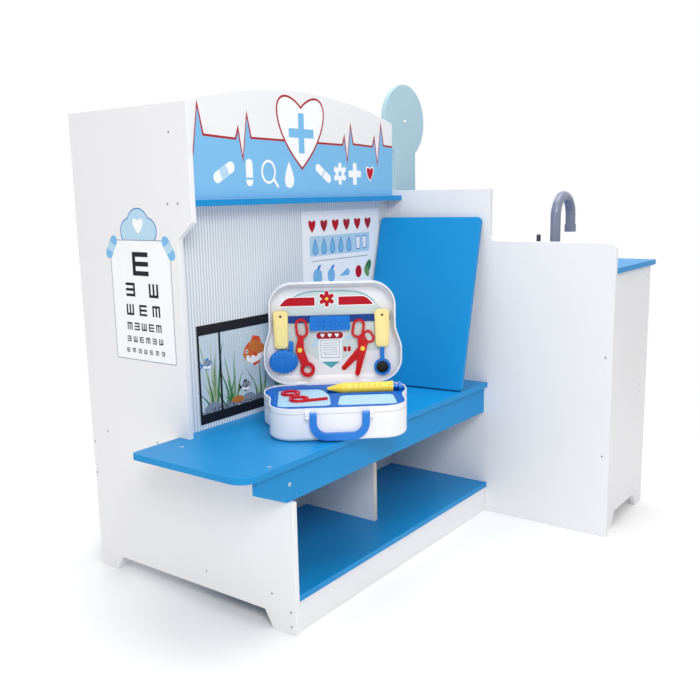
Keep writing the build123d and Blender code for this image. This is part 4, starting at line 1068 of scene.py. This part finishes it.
class Instruments(SubAssembly):
    """The toy instruments in the lid and the tray."""

    yellow = Finish("grip_plastic", Tone.GRIP_YELLOW, coat=0.1, **PLASTIC)
    red = Finish("red_plastic", Tone.TOOL_RED, coat=0.12, **PLASTIC)
    blue = Finish("tool_blue_plastic", Tone.HORN_BLUE, coat=0.12, **PLASTIC)
    syringe = Finish("syringe_plastic", Tone.SYRINGE_YELLOW, coat=0.12, **PLASTIC)
    rivet = Finish("rivet_plastic", Tone.SYRINGE_YELLOW, **PLASTIC)
    halves = ("forceps_upper_half", "forceps_under_half", "scissors_upper_half", "scissors_under_half")
    finishes = {
        **dict.fromkeys(("horn_grip", "mirror_grip"), yellow),
        **dict.fromkeys(("horn_head", "mirror_ring", "syringe_plunger"), blue),
        **dict.fromkeys((*halves, "toy_glasses"), red),
        **dict.fromkeys(("forceps_rivet", "scissors_rivet"), rivet),
        "mirror_glass": Finish("dark_mirror", Tone.MIRROR_DARK, roughness=0.16, metallic=0.9, shade=0.2),
        "syringe_barrel": syringe,
    }
    horn_middle = (-106.0, 45.0)
    horn_half = (31.0, 27.0)
    horn_depth = -31.1
    horn_thick = 18.0
    rib_pitch = 7.75
    knob_middle, knob_depth = (-89.0, 77.0), -23.2
    knob_half = (5.2, 12.6, 3.2)
    grip_face = -18.2
    barrel_start, barrel_lift = (14.0, 36.0), 7.0
    ring_places, ring_radius = (6.0, 96.0), 10.9
    mark_places, mark_radius = (22.0, 33.0, 44.0, 55.0, 66.0, 77.0), 10.95
    mark_points = 13

    def build_horn(self) -> None:
        """Makes the horn's bulb, and the small knob beside its grip.

        The bulb is an egg whose height over the card sinks in grooves, as a cosine of the way across it.
        """
        horn = Piece("horn_bulb", "horn", "tool_blue", self.parts)
        sheet = self.case.lid_sheet(0.0)
        up = np.linspace(-np.pi / 2, np.pi / 2, 33)[:, None]
        round_ = np.linspace(0, 2 * np.pi, 96, endpoint=False)[None, :]
        reach = np.cos(up) ** 0.45
        across = self.horn_half[0] * reach * np.cos(round_)
        groove = 0.5 + 0.5 * np.cos(2 * np.pi * across / self.rib_pitch)
        level = self.horn_half[1] * reach * np.sin(round_) * (0.93 + 0.07 * groove)
        half = self.horn_thick / 2
        lift = half * np.sign(np.sin(up)) * np.abs(np.sin(up)) ** 0.7 * (0.84 + 0.16 * groove)
        flat = np.stack([across, level], axis=-1) + self.horn_middle
        horn.add(sheet.place(flat, (self.horn_depth + half + lift)[..., None]), self.blue, closed=True)
        knob = sheet.place(np.array(self.knob_middle), self.knob_depth)
        horn.add(bulge(knob, self.case.axes, self.knob_half, 0.7), self.blue, closed=True)
        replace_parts(horn.build(), "horn_head")

    def build_grip_faces(self) -> None:
        """Makes the soft raised middle of each yellow grip and its dark pin head."""
        dark = Finish("pin_dark", Tone.INK_BLACK, **PLASTIC)
        sheet = self.case.lid_sheet(self.grip_face)
        for tool, across, level in (("horn", -110.0, 110.0), ("mirror", 107.0, 108.0)):
            for name, slot, finish, rise, lift, half, power in (
                ("_grip_face", "tool_yellow", self.yellow, 0.0, 0.0, (11.5, 33.0, 1.5), 0.6),
                ("_pin", "mirror_dark", dark, 33.0, 0.9, (2.6, 2.6, 0.8), 1.0),
            ):
                egg = Piece(tool + name, tool, slot, self.parts)
                middle = sheet.place(np.array([across, level + rise]), lift)
                egg.add(bulge(middle, self.case.axes, half, power), finish, closed=True)
                egg.build()

    def build_rings(self) -> None:
        """Makes the raised rings and the dark measuring marks round the syringe's barrel."""
        rings = Piece("syringe_rings", "syringe", "tool_yellow", self.parts)
        tray = self.case.tray_sheet(DoctorCase.tray_level)
        middle = tray.place(np.array(self.barrel_start), self.barrel_lift)
        axis = np.array(self.case.across)
        t = np.linspace(0, np.pi, 9)
        for place in self.ring_places:
            hoop = np.column_stack([place - 1.6 * np.cos(t), self.ring_radius + 1.1 * np.sin(t)])
            rings.add(turned_profile(middle, axis, hoop), self.syringe, closed=True)
        for place in self.mark_places:
            mark = np.column_stack([place - 0.5 * np.cos(t), self.mark_radius + 0.14 * np.sin(t)])
            whole = turned_profile(middle, axis, mark, 60)
            facing = (whole - middle).mean(0) @ np.array(self.case.out + UP)
            first = int(np.argmax(facing)) - self.mark_points // 2
            near = np.roll(whole, -first, axis=1)[:, : self.mark_points]
            rings.add(near, ink(Tone.INK_ORANGE))
        rings.build(solid=False)

    def build(self) -> None:
        """Makes the horn's bulb, the grips' faces and the syringe's rings."""
        self.build_horn()
        self.build_grip_faces()
        self.build_rings()


class ScrewSocketShade(SubAssembly):
    """Painted shade in the screws' hexagonal sockets: a dark hexagon sunk in each, for each side that a
    screw head looks out of.

    The screws' places are millimetres from the corner: along the depth and up, or along all three ways.
    """

    radius = 1.6
    depth = 0.5
    divider_left, divider_right = 747.0, 759.0
    cabinet_depth = 582.0
    shelf_and_kick = ((57.2, 69.0), (228.8, 69.0), (12.0, 15.2), (12.0, 44.2))
    header = ((252.0, 782.0), (280.0, 782.0))
    rear = ((350.0, 311.0), (506.0, 311.0), (552.0, 282.0), (552.0, 213.0))
    wall_top = (266.0, 910.5)
    divider = ((-291.0, 191.8), (-291.0, 422.0), (279.0, 152.2), (279.0, 560.3))
    apron = ((6.0, 9.4, 288.0),)
    seat = ((-39.0, 15.4, 332.0), (-39.0, 234.0, 332.0))
    cabinet = ((810.6, -297.0, 317.0), (978.9, -297.0, 317.0), (1011.5, -297.0, 582.0))

    def build_group(self, name: str, out: Vector, right: Vector, places: Array) -> None:
        """Makes the dark socket floors, painted shade in the recesses, of the screws that look out of one
        side.

        Args:
            name: the group's name.
            out: the way that the heads look.
            right: a direction square to it.
            places: the heads' middles, in millimetres from the corner.
        """
        floors = Piece(name, "frame", "screw_steel", self.parts)
        # The near-black of each hexagon is painted shade: the socket's steel floor is dark only because
        # the recess shades it.
        dark = Finish("painted_socket_shade", Tone.INK_BLACK, roughness=0.7, specular=0.05)
        hexagon = filled(oval(0, 0, self.radius, self.radius, count=6))
        for place in places:
            floor = Sheet(self.corner + Vector(place) * MM, right, out.cross(right), out)
            floors.add(floor.place(hexagon, -self.depth), dark)
        floors.build(smooth=False, solid=False)

    def build(self) -> None:
        """Makes the painted shade floors for the left side, the divider, the apron, the seat and the
        cabinet.
        """
        side = [*self.shelf_and_kick, *self.header, *self.rear, self.wall_top]
        walls = ((0.0, side), (self.divider_right, side[:-1]), (self.divider_left, self.divider))
        left, right, divider = ([(x, *place) for place in places] for x, places in walls)
        cabinet_back = np.array(self.cabinet) + (0, self.cabinet_depth, 0)
        self.build_group("left_socket_shade", -RIGHT, BACK, left)
        self.build_group("right_socket_shade", RIGHT, BACK, right)
        self.build_group("apron_socket_shade", -BACK, RIGHT, self.apron)
        self.build_group("seat_socket_shade", UP, RIGHT, self.seat)
        self.build_group("divider_socket_shade", -RIGHT, BACK, divider)
        self.build_group("front_socket_shade", -BACK, RIGHT, self.cabinet)
        self.build_group("back_socket_shade", BACK, RIGHT, cabinet_back)


class HeaderPrint(SubAssembly):
    """The header's print: a pulse line over a pale blue field, a heart with a plus, and small signs."""

    left, right, foot = 12.8, 726.2, 788.9
    line_level = 905.0
    line_width = 4.4
    beat_shape = ((0, 0), (9, 24), (22, -46), (40, 58), (52, 4))
    beat_starts = (26.0, 168.0, 520.0, 640.0)
    beat_sizes = (1.05, 0.86, 0.8, 0.92)
    heart_box = (372.0, 924.0, 157.0, 149.0)
    plus_sizes = (19.0, 84.0)
    sign_y = 840.0

    def pulse(self) -> Array:
        """Points of the pulse line: level runs with beats of a small peak, a dip and a high peak.

        Returns:
            The line's points, from left to right.
        """
        starts, sizes = np.array(self.beat_starts), np.array(self.beat_sizes)
        beats = starts[:, None, None] * (1, 0) + np.array(self.beat_shape) * sizes[:, None, None]
        points = beats.reshape(-1, 2) + (0, self.line_level)
        return np.vstack([[self.left, self.line_level - 4], points, [self.right, self.line_level + 2]])

    def draw_signs(self, sheet: Print) -> None:
        """Draws the small white signs in the field, and the small red heart.

        Args:
            sheet: the print that they are added to.
        """
        y, white, sky = self.sign_y, Tone.INK_WHITE, Tone.INK_SKY
        sheet.fill(plate(132, y, 64, 22, 10.9, 28), white, 1)
        sheet.fill(plate(132, y, 22, 21, 2, 28), Tone.INK_PALE, 2)
        sheet.fill(plate(204, y, 20, 54, 9.9), white, 1)
        sheet.fill(plate(204, y - 12, 20, 4, 1.5), sky, 2)
        sheet.line(oval(262, y + 2, 20, 22), 5, white, 1, True)
        sheet.line(np.array([[277, y - 12], [292, y - 30]]), 6, white, 1)
        sheet.fill(drop(328, y - 3, 21), white, 1)
        sheet.fill(plate(446, y, 62, 18, 8.9, -32), white, 1)
        sheet.line(turned(np.array([[0.0, -9.0], [0.0, 9.0]]), -32) + (446, y), 3, sky, 2)
        sheet.fill(petals(508, y, 25, 6, 0.42), white, 1)
        sheet.fill(oval(508, y, 6, 6), sky, 2)
        sheet.fill(plate(566, y, 50, 15, 3), white, 1)
        sheet.fill(plate(566, y, 15, 50, 3), white, 1)
        sheet.fill(heart(628.6, y, 33, 36), white, 1)
        sheet.fill(heart(628.6, y, 27, 30), Tone.INK_RED, 2)

    def build(self) -> None:
        """Makes the print on the header's front face."""
        face = self.front_sheet("header_board")
        sheet = Print("header_print", "frame", "printed_board", self.parts, sheet=face)
        line = self.pulse()
        sheet.draw(between(line[:, 0], self.foot, line[:, 1]), Tone.INK_SKY)
        sheet.line(line, self.line_width, Tone.INK_LINE_RED, 1)
        sheet.fill(heart(*self.heart_box), Tone.INK_WHITE, 2)
        sheet.line(heart(*self.heart_box), self.line_width, Tone.INK_LINE_RED, 3, True)
        for wide, high in (self.plus_sizes, self.plus_sizes[::-1]):
            sheet.fill(plate(*self.heart_box[:2], wide, high, 1.5), Tone.INK_SKY, 3)
        self.draw_signs(sheet)
        sheet.build()


class EyeChart(SubAssembly):
    """The eye test on the left side: a white sheet with rows of turned combs, under a small cloud."""

    x, y = -367.0, 595.0
    wide, high = 174.0, 237.0
    top = y + high / 2
    puffs = ((-26, 0, 25), (0, 13, 31), (27, 2, 24))
    row_heights = (46.0, 27.0, 22.0, 15.0, 11.5, 9.0)
    row_places = (668.0, 617.0, 577.0, 544.0, 518.0, 495.0)

    def draw_comb(self, chart: Print, x: float, y: float, size: float, turn: float) -> None:
        """Draws a spine with three bars, five line widths high and wide, turned by quarter turns.

        Args:
            chart: the print that it is added to.
            x: middle, across.
            y: middle, up.
            size: height of the comb.
            turn: how far it is turned, in degrees.
        """
        spine = np.array([[-2.0, -2.5], [-2.0, 2.5]])
        for path in (spine, *(level_line(-1.5, 2.5, level) for level in (-2.0, 0.0, 2.0))):
            chart.line(turned(path * size / 5, turn) + (x, y), size / 5, Tone.INK_BLACK, 4)

    def build(self) -> None:
        """Makes the sheet, its rows and the cloud above it."""
        face = Sheet(self.corner, -BACK, UP, -RIGHT)
        chart = Print("eye_chart", "frame", "printed_board", self.parts, sheet=face)
        for puff, lift, size in self.puffs:
            for tone, layer, reach in ((Tone.INK_BLUE, 0, size + 2.2), (Tone.INK_PALE, 1, size)):
                chart.fill(oval(self.x + puff, self.top + 16 + lift, reach, reach), tone, layer)
        chart.fill(heart(self.x, self.top + 27, 30, 29), Tone.INK_WHITE, 2)
        sheet = plate(self.x, self.y, self.wide, self.high, 2.5)
        chart.fill(sheet, Tone.INK_WHITE, 3)
        chart.line(sheet, 1.6, Tone.INK_GREY, 4, True)
        for side in (-1, 1):
            place = (self.x + side * (self.wide / 2 - 4), self.top - 14)
            chart.fill(plate(*place, 50, 20, 9.9, -side * 58), Tone.INK_SKY, 5)
            chart.fill(plate(*place, 17, 19, 2, -side * 58), Tone.INK_PALE, 6)
        for row, (size, level) in enumerate(zip(self.row_heights, self.row_places)):
            count = row + 1 if row < 3 else row + 2
            places = np.linspace(-0.5, 0.5, count) * (self.wide * (0.34 + 0.05 * row)) if row else [0.0]
            for number, across in enumerate(places):
                turn = (number * 3 + row * 2 + row // 2) % 4 * 90.0
                self.draw_comb(chart, self.x + across, level, size, turn)
        chart.build()


@dataclass(frozen=True)
class Fish:
    """A plain fish: its middle, the length of its body, its way (1 is to the right) and its two tones."""

    x: float
    y: float
    size: float
    way: int
    tone: Tone
    mark: Tone

    def at(self, shares: Array) -> Array:
        """Points on the fish, given in shares of its length from its middle."""
        return shares * (self.way * self.size, self.size) + (self.x, self.y)

    def draw(self, tank: Print) -> None:
        """Draws the tail, two fins, the body with its belly and a band, a gill, a side fin and an eye.

        Args:
            tank: the print that it is added to.
        """
        t, spread = np.linspace(0, 1, 24), np.linspace(-1, 1, 13)
        root = np.column_stack([np.full(13, -0.46), 0.04 * spread])
        reach = 0.34 * (0.62 + 0.38 * np.abs(spread)) * (0.9 + 0.1 * np.cos(12 * spread))
        tail = np.stack([root, np.column_stack([-0.46 - reach, 0.36 * spread])])
        fin = np.array([[0.22, 0.26], [0.06, 0.5], [-0.22, 0.42], [-0.3, 0.14]])
        high = 0.34 * np.sin(np.pi * t**0.8) ** 0.8 + 0.03 * t
        body = between(0.5 - t, -0.86 * high, high)
        foot, back = body
        tank.draw(self.at(tail), self.mark, 3)
        tank.fill(self.at(fin), self.mark, 3)
        tank.fill(self.at(fin * (0.8, -0.8)), self.mark, 3)
        tank.draw(self.at(body), self.tone, 4)
        tank.draw(self.at(np.stack([foot, foot + 0.34 * (back - foot)])[:, 3:-2]), Tone.INK_WHITE, 5)
        tank.draw(self.at(np.stack([foot * 0.2 + back * 0.8, back])[:, :7]), self.mark, 5)
        for spot, tone, layer in (
            (oval(0.2, 0.0, 0.035, 0.16), self.mark, 6),
            (oval(0.02, -0.05, 0.13, 0.06, 28), self.mark, 6),
            (oval(0.34, 0.06, 0.06, 0.06), Tone.INK_WHITE, 6),
            (oval(0.34, 0.06, 0.035, 0.035), Tone.INK_BLACK, 7),
        ):
            tank.fill(self.at(spot), tone, layer)


class WallPictures(SubAssembly):
    """The pictures on the striped wall: a fish tank at the left and a sheet of health signs."""

    tank_left, tank_right, tank_foot, tank_top = 60.0, 404.0, 342.0, 543.0
    band = 20.0
    bar = 5.5
    bar_x = 122.0
    clumps = (
        (98, 10, 158, Tone.INK_SAGE),
        (152, 8, 118, Tone.INK_LEAF),
        (238, 7, 84, Tone.INK_SAGE),
        (304, 9, 142, Tone.INK_LEAF),
        (366, 9, 124, Tone.INK_GREEN),
        (132, 4, 70, Tone.INK_GREEN),
    )
    stones = ((98, 26), (202, 22), (268, 30), (336, 24), (384, 20))
    bubbles = ((182, 512, 2.6), (186, 500, 1.8), (180, 490, 1.4), (276, 505, 2.2), (279, 494, 1.5))
    pebble_tones = (Tone.INK_WHITE, Tone.INK_STONE, Tone.INK_SAND)
    shoal = (
        Fish(86, 462, 28, 1, Tone.INK_GREY, Tone.INK_BLUE),
        Fish(226, 466, 74, -1, Tone.INK_ORANGE, Tone.INK_CORAL),
        Fish(194, 398, 30, 1, Tone.INK_STONE, Tone.INK_BLACK),
        Fish(340, 440, 52, -1, Tone.INK_SAND, Tone.INK_ORANGE),
    )

    def frond(self, x: float, y: float, high: float, lean: float, wide: float) -> Array:
        """A water plant's blade: it leans as the square of its height, and its width tapers to a point.

        Args:
            x: foot, across.
            y: foot, up.
            high: height.
            lean: how far its tip lies to the side.
            wide: largest width.

        Returns:
            A grid of its two edges.
        """
        t = np.linspace(0, 1, 14)
        spine = x + lean * t**2 + 2.5 * np.sin(5 * t)
        half = wide / 2 * np.sqrt(np.clip(t * 4, 0, 1)) * (1 - t) ** 0.7
        return np.stack([np.column_stack([spine + side * half, y + high * t]) for side in (-1, 1)])

    def draw_ground(self, tank: Print, foot: float) -> None:
        """Draws the plants, the stones, the gravel and the pebbles on it.

        Args:
            tank: the print that they are added to.
            foot: the gravel's lower edge.
        """
        for place, count, tall, tone in self.clumps:
            for number, side in enumerate(np.linspace(-1, 1, count)):
                rise = tall * (0.62 + 0.38 * np.cos(2.3 * number + place))
                blade = (place + 11 * side, foot + 8, rise, 26 * side + 5 * np.sin(place + number), 7.5)
                tank.draw(self.frond(*blade), tone if number % 3 else Tone.INK_GREEN, 1 + number % 2)
        for x_stone, wide_stone in self.stones:
            tank.fill(oval(x_stone, foot + 13, wide_stone, 15), Tone.INK_STONE, 3)
        tank.fill(oval(168, foot + 16, 20, 12), Tone.INK_ORANGE, 3)
        x = np.linspace(self.tank_left, self.tank_right, 60)
        flecks = {"fleck": Tone.INK_BLACK, "fleck_scale": 300.0, "fleck_share": 0.47}
        gravel = Speckled("tank_gravel", Tone.INK_GREY, roughness=0.5, **flecks)
        top = foot + 16 + 3 * np.sin(x / 17) + 2 * np.sin(x / 7)
        tank.draw(between(x, foot, top), Tone.INK_GREY, 4, gravel)
        for number, place in enumerate(np.linspace(self.tank_left + 12, self.tank_right - 12, 30)):
            size = 3.2 + 1.6 * np.sin(3.7 * number)
            pebble = oval(place, foot + 6 + 5 * np.sin(2.1 * number), size, size * 0.7)
            tank.fill(pebble, self.pebble_tones[number % 3], 5)

    def build_tank(self) -> None:
        """Makes the fish tank's print: water, gravel, stones, plants and fish inside dark bands."""
        face = self.front_sheet("wall_panel")
        tank = Print("tank_print", "frame", "printed_board", self.parts, sheet=face)
        wide, high = self.tank_right - self.tank_left, self.tank_top - self.tank_foot
        x, y = self.tank_left + wide / 2, self.tank_foot + high / 2
        ripples = {"stripe": Tone.WATER_TOP, "edge": 0.3, "shade": 0.3}
        water = Striped("tank_water", Tone.WATER_LOW, roughness=0.4, **ripples)
        tank.draw(filled(plate(x, y, wide, high)), Tone.WATER_LOW, 0, water)
        self.draw_ground(tank, self.tank_foot + self.band * 0.6)
        for fish in self.shoal:
            fish.draw(tank)
        for across, level, size in self.bubbles:
            tank.line(oval(across, level, size, size), 0.8, Tone.INK_WHITE, 3, True)
        for level in (self.tank_foot + self.band / 2, self.tank_top - self.band / 2):
            tank.fill(plate(x, level, wide, self.band), Tone.INK_BLACK, 7)
        for place in (self.tank_left + self.bar / 2, self.bar_x, self.tank_right - self.bar / 2):
            tank.fill(plate(place, y, self.bar, high), Tone.INK_BLACK, 7)
        tank.build()

    def build_signs(self) -> None:
        """Makes the sheet of health signs: hearts, drops and a glass, fruit, and small plaques."""
        face = self.front_sheet("wall_panel")
        sheet = Print("health_sheet", "frame", "printed_board", self.parts, sheet=face)
        red, white, pale, blue = Tone.INK_RED, Tone.INK_WHITE, Tone.INK_PALE, Tone.INK_BLUE
        sheet.fill(plate(547.0, 638.5, 304.0, 237.0, 1.5), white)
        for number, across in enumerate(np.linspace(432, 652, 6)):
            sheet.fill(heart(across, 722, 26, 28), (red, Tone.INK_LINE_RED)[number % 2], 1)
        sheet.fill(plate(540, 677, 236, 46, 4), pale, 1)
        for across in np.linspace(442, 572, 5):
            sheet.fill(drop(across, 676, 13), Tone.INK_SKY, 2)
            sheet.line(drop(across, 676, 13), 1.8, blue, 3, True)
        for across in (610, 636):
            glass = np.array([[-7, -15], [-9, 15], [9, 15], [7, -15]]) + (across, 677)
            sheet.fill(glass, white, 2)
            sheet.line(glass, 2, blue, 3, True)
        sheet.line(level_line(430.0, 650.0, 643.0), 1.6, Tone.INK_GREY, 1)
        for across, size in ((448, 19), (500, 16)):
            sheet.fill(petals(across, 606, size, 2, 0.12), Tone.INK_SKY, 1)
            sheet.fill(oval(across + 6, 606 + size + 3, 8, 3.4, 35), blue, 2)
        carrot = np.array([[-22, 0], [16, 9], [22, 0], [16, -9]])
        sheet.fill(turned(carrot, 12) + (552, 606), Tone.INK_SKY, 1)
        sheet.fill(oval(610, 606, 13, 15), red, 1)
        sheet.fill(oval(650, 614, 11, 20, -35), Tone.INK_GREEN, 1)
        sheet.fill(oval(645, 604, 9, 15, 28), Tone.INK_LEAF, 2)
        sheet.line(level_line(430.0, 650.0, 577.0), 1.6, Tone.INK_GREY, 1)
        for across in (440, 500, 560, 620):
            sheet.fill(plate(across, 548, 44, 38, 5), pale, 1)
            sheet.fill(petals(across, 548, 14, 5, 0.4), blue, 2)
        sheet.build()

    def build(self) -> None:
        """Makes the tank and the sheet of signs."""
        self.build_tank()
        self.build_signs()


@dataclass(frozen=True)
class Lamp:
    """A square soft lamp: where it hangs, the point it shines at, its side in metres and its watts."""

    name: str
    place: tuple[float, float, float]
    aim: tuple[float, float, float]
    size: float
    power: float

    def build(self) -> None:
        """Makes the lamp."""
        light = bpy.data.lights.new(self.name, "AREA")
        light.size, light.energy = self.size, self.power
        turn = (Vector(self.aim) - Vector(self.place)).to_track_quat("-Z", "Y").to_matrix().to_4x4()
        put_in_scene(self.name, light).matrix_world = Matrix.Translation(Vector(self.place)) @ turn


class Studio(SubAssembly):
    """A plain pale room: a floor, soft lamps, a white surround and the camera."""

    camera_place = (-1071.7, -926.9, 791.4)
    camera_turn = (53.51, 10.46, -1.17)
    lens = 43.17
    surround_colour = (1.0, 0.99, 0.975, 1.0)
    surround_level = 0.33
    fade = {"From Min": 0.75, "From Max": 1.7}
    lamps = (
        Lamp("key_lamp", (-2.2, -2.2, 2.3), (0.0, 0.0, 0.4), 1.3, 59.0),
        Lamp("side_lamp", (-3.2, 0.4, 1.6), (0.0, 0.1, 0.5), 2.2, 14.0),
        Lamp("top_lamp", (0.3, -0.2, 3.2), (0.1, 0.0, 0.0), 2.4, 66.0),
        Lamp("rear_lamp", (1.6, 3.0, 2.2), (0.1, 0.0, 0.4), 2.4, 34.0),
    )

    def build_floor(self) -> None:
        """Makes the floor: a level grid of 12 metres, with fine grain."""
        side = np.linspace(-6, 6, 5)
        across, along = np.meshgrid(side, side)
        grid = np.stack([across, along, np.full_like(across, -0.0002)], axis=-1)
        floor = bpy.data.meshes.new("studio_floor")
        floor.from_pydata(grid.reshape(-1, 3).tolist(), [], quads(5, 5).tolist())
        finish = Finish("floor_paper", Tone.FLOOR, roughness=0.7, shade=0.01, specular=0.1)
        paper = finish.material(self.parts)
        self.fade_floor(Wiring(paper.node_tree))
        floor.materials.append(paper)
        put_in_scene("studio_floor", floor)

    def fade_floor(self, wires: Wiring) -> None:
        """Lets the camera see the floor turn plain white away from the object, so that no horizon shows.

        Args:
            wires: the floor material's nodes.
        """
        away = wires.add("ShaderNodeVectorMath", {0: wires.where()}, operation="LENGTH").outputs["Value"]
        ends = {"Value": away, **self.fade}
        share = wires.add("ShaderNodeMapRange", ends, interpolation_type="SMOOTHSTEP")
        path = wires.add("ShaderNodeLightPath", {}).outputs
        seen = wires.math("MULTIPLY", share.outputs["Result"], path["Is Camera Ray"])
        white = wires.add("ShaderNodeEmission", {"Color": Tone.PURE_WHITE.linear})
        nodes = wires.tree.nodes
        wires.blend_shaders(seen, nodes["Principled BSDF"], white, nodes["Material Output"])

    def build_camera(self) -> None:
        """Places the camera by its yaw, pitch and roll, as the photograph was taken."""
        yaw, pitch, roll = np.radians(self.camera_turn)
        ahead = Vector((np.sin(yaw) * np.cos(pitch), np.cos(yaw) * np.cos(pitch), -np.sin(pitch)))
        level = Vector((np.cos(yaw), -np.sin(yaw), 0.0))
        above = level.cross(ahead)
        right = level * np.cos(roll) + above * np.sin(roll)
        up = above * np.cos(roll) - level * np.sin(roll)
        lens = bpy.data.cameras.new("camera")
        lens.lens, lens.sensor_width = self.lens, 36.0
        camera = put_in_scene("camera", lens)
        turn = Matrix((right, up, -ahead)).transposed().to_4x4()
        camera.matrix_world = Matrix.Translation(self.corner + Vector(self.camera_place) * MM) @ turn
        bpy.context.scene.camera = camera

    def build_surround(self) -> None:
        """Makes the surround: an even pale light, which the camera, gloss and glass see as plain white."""
        world = bpy.data.worlds.new("surround")
        bpy.context.scene.world = world
        world.use_nodes = True
        wires = Wiring(world.node_tree)
        even = wires.tree.nodes["Background"]
        wires.wire(even, {"Color": self.surround_colour, "Strength": self.surround_level})
        white = wires.add("ShaderNodeBackground", {"Color": Tone.PURE_WHITE.linear})
        path = wires.add("ShaderNodeLightPath", {}).outputs
        seen = wires.math("ADD", path["Is Camera Ray"], path["Is Glossy Ray"], clamp=True)
        seen = wires.math("ADD", seen, path["Is Transmission Ray"], clamp=True)
        wires.blend_shaders(seen, even, white, wires.tree.nodes["World Output"])

    def build(self) -> None:
        """Makes the whole studio."""
        self.build_floor()
        self.build_camera()
        self.build_surround()
        for lamp in self.lamps:
            lamp.build()
        bpy.context.scene.view_settings.view_transform = "Standard"
        log.info("built the studio: floor, camera, surround and %d lamps", len(self.lamps))


def main() -> None:
    """Builds and dresses each group in order and sets up the studio."""
    logging.basicConfig(level=logging.INFO, format="%(name)s: %(message)s")
    low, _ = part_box("left_side_panel")
    parts, corner, case = ShaderParts(), Vector((low.x, low.y, 0.0)), CaseFrame()
    objects = (WaitingBench, SinkCabinet, DoctorCase, Instruments)
    details = (ScrewSocketShade, HeaderPrint, EyeChart, WallPictures)
    for kind in (*objects, *details, Studio):
        group = kind(parts, corner, case)
        group.dress()
        group.build()
    log.info("sizes kept")


if __name__ == "__main__":
    main()
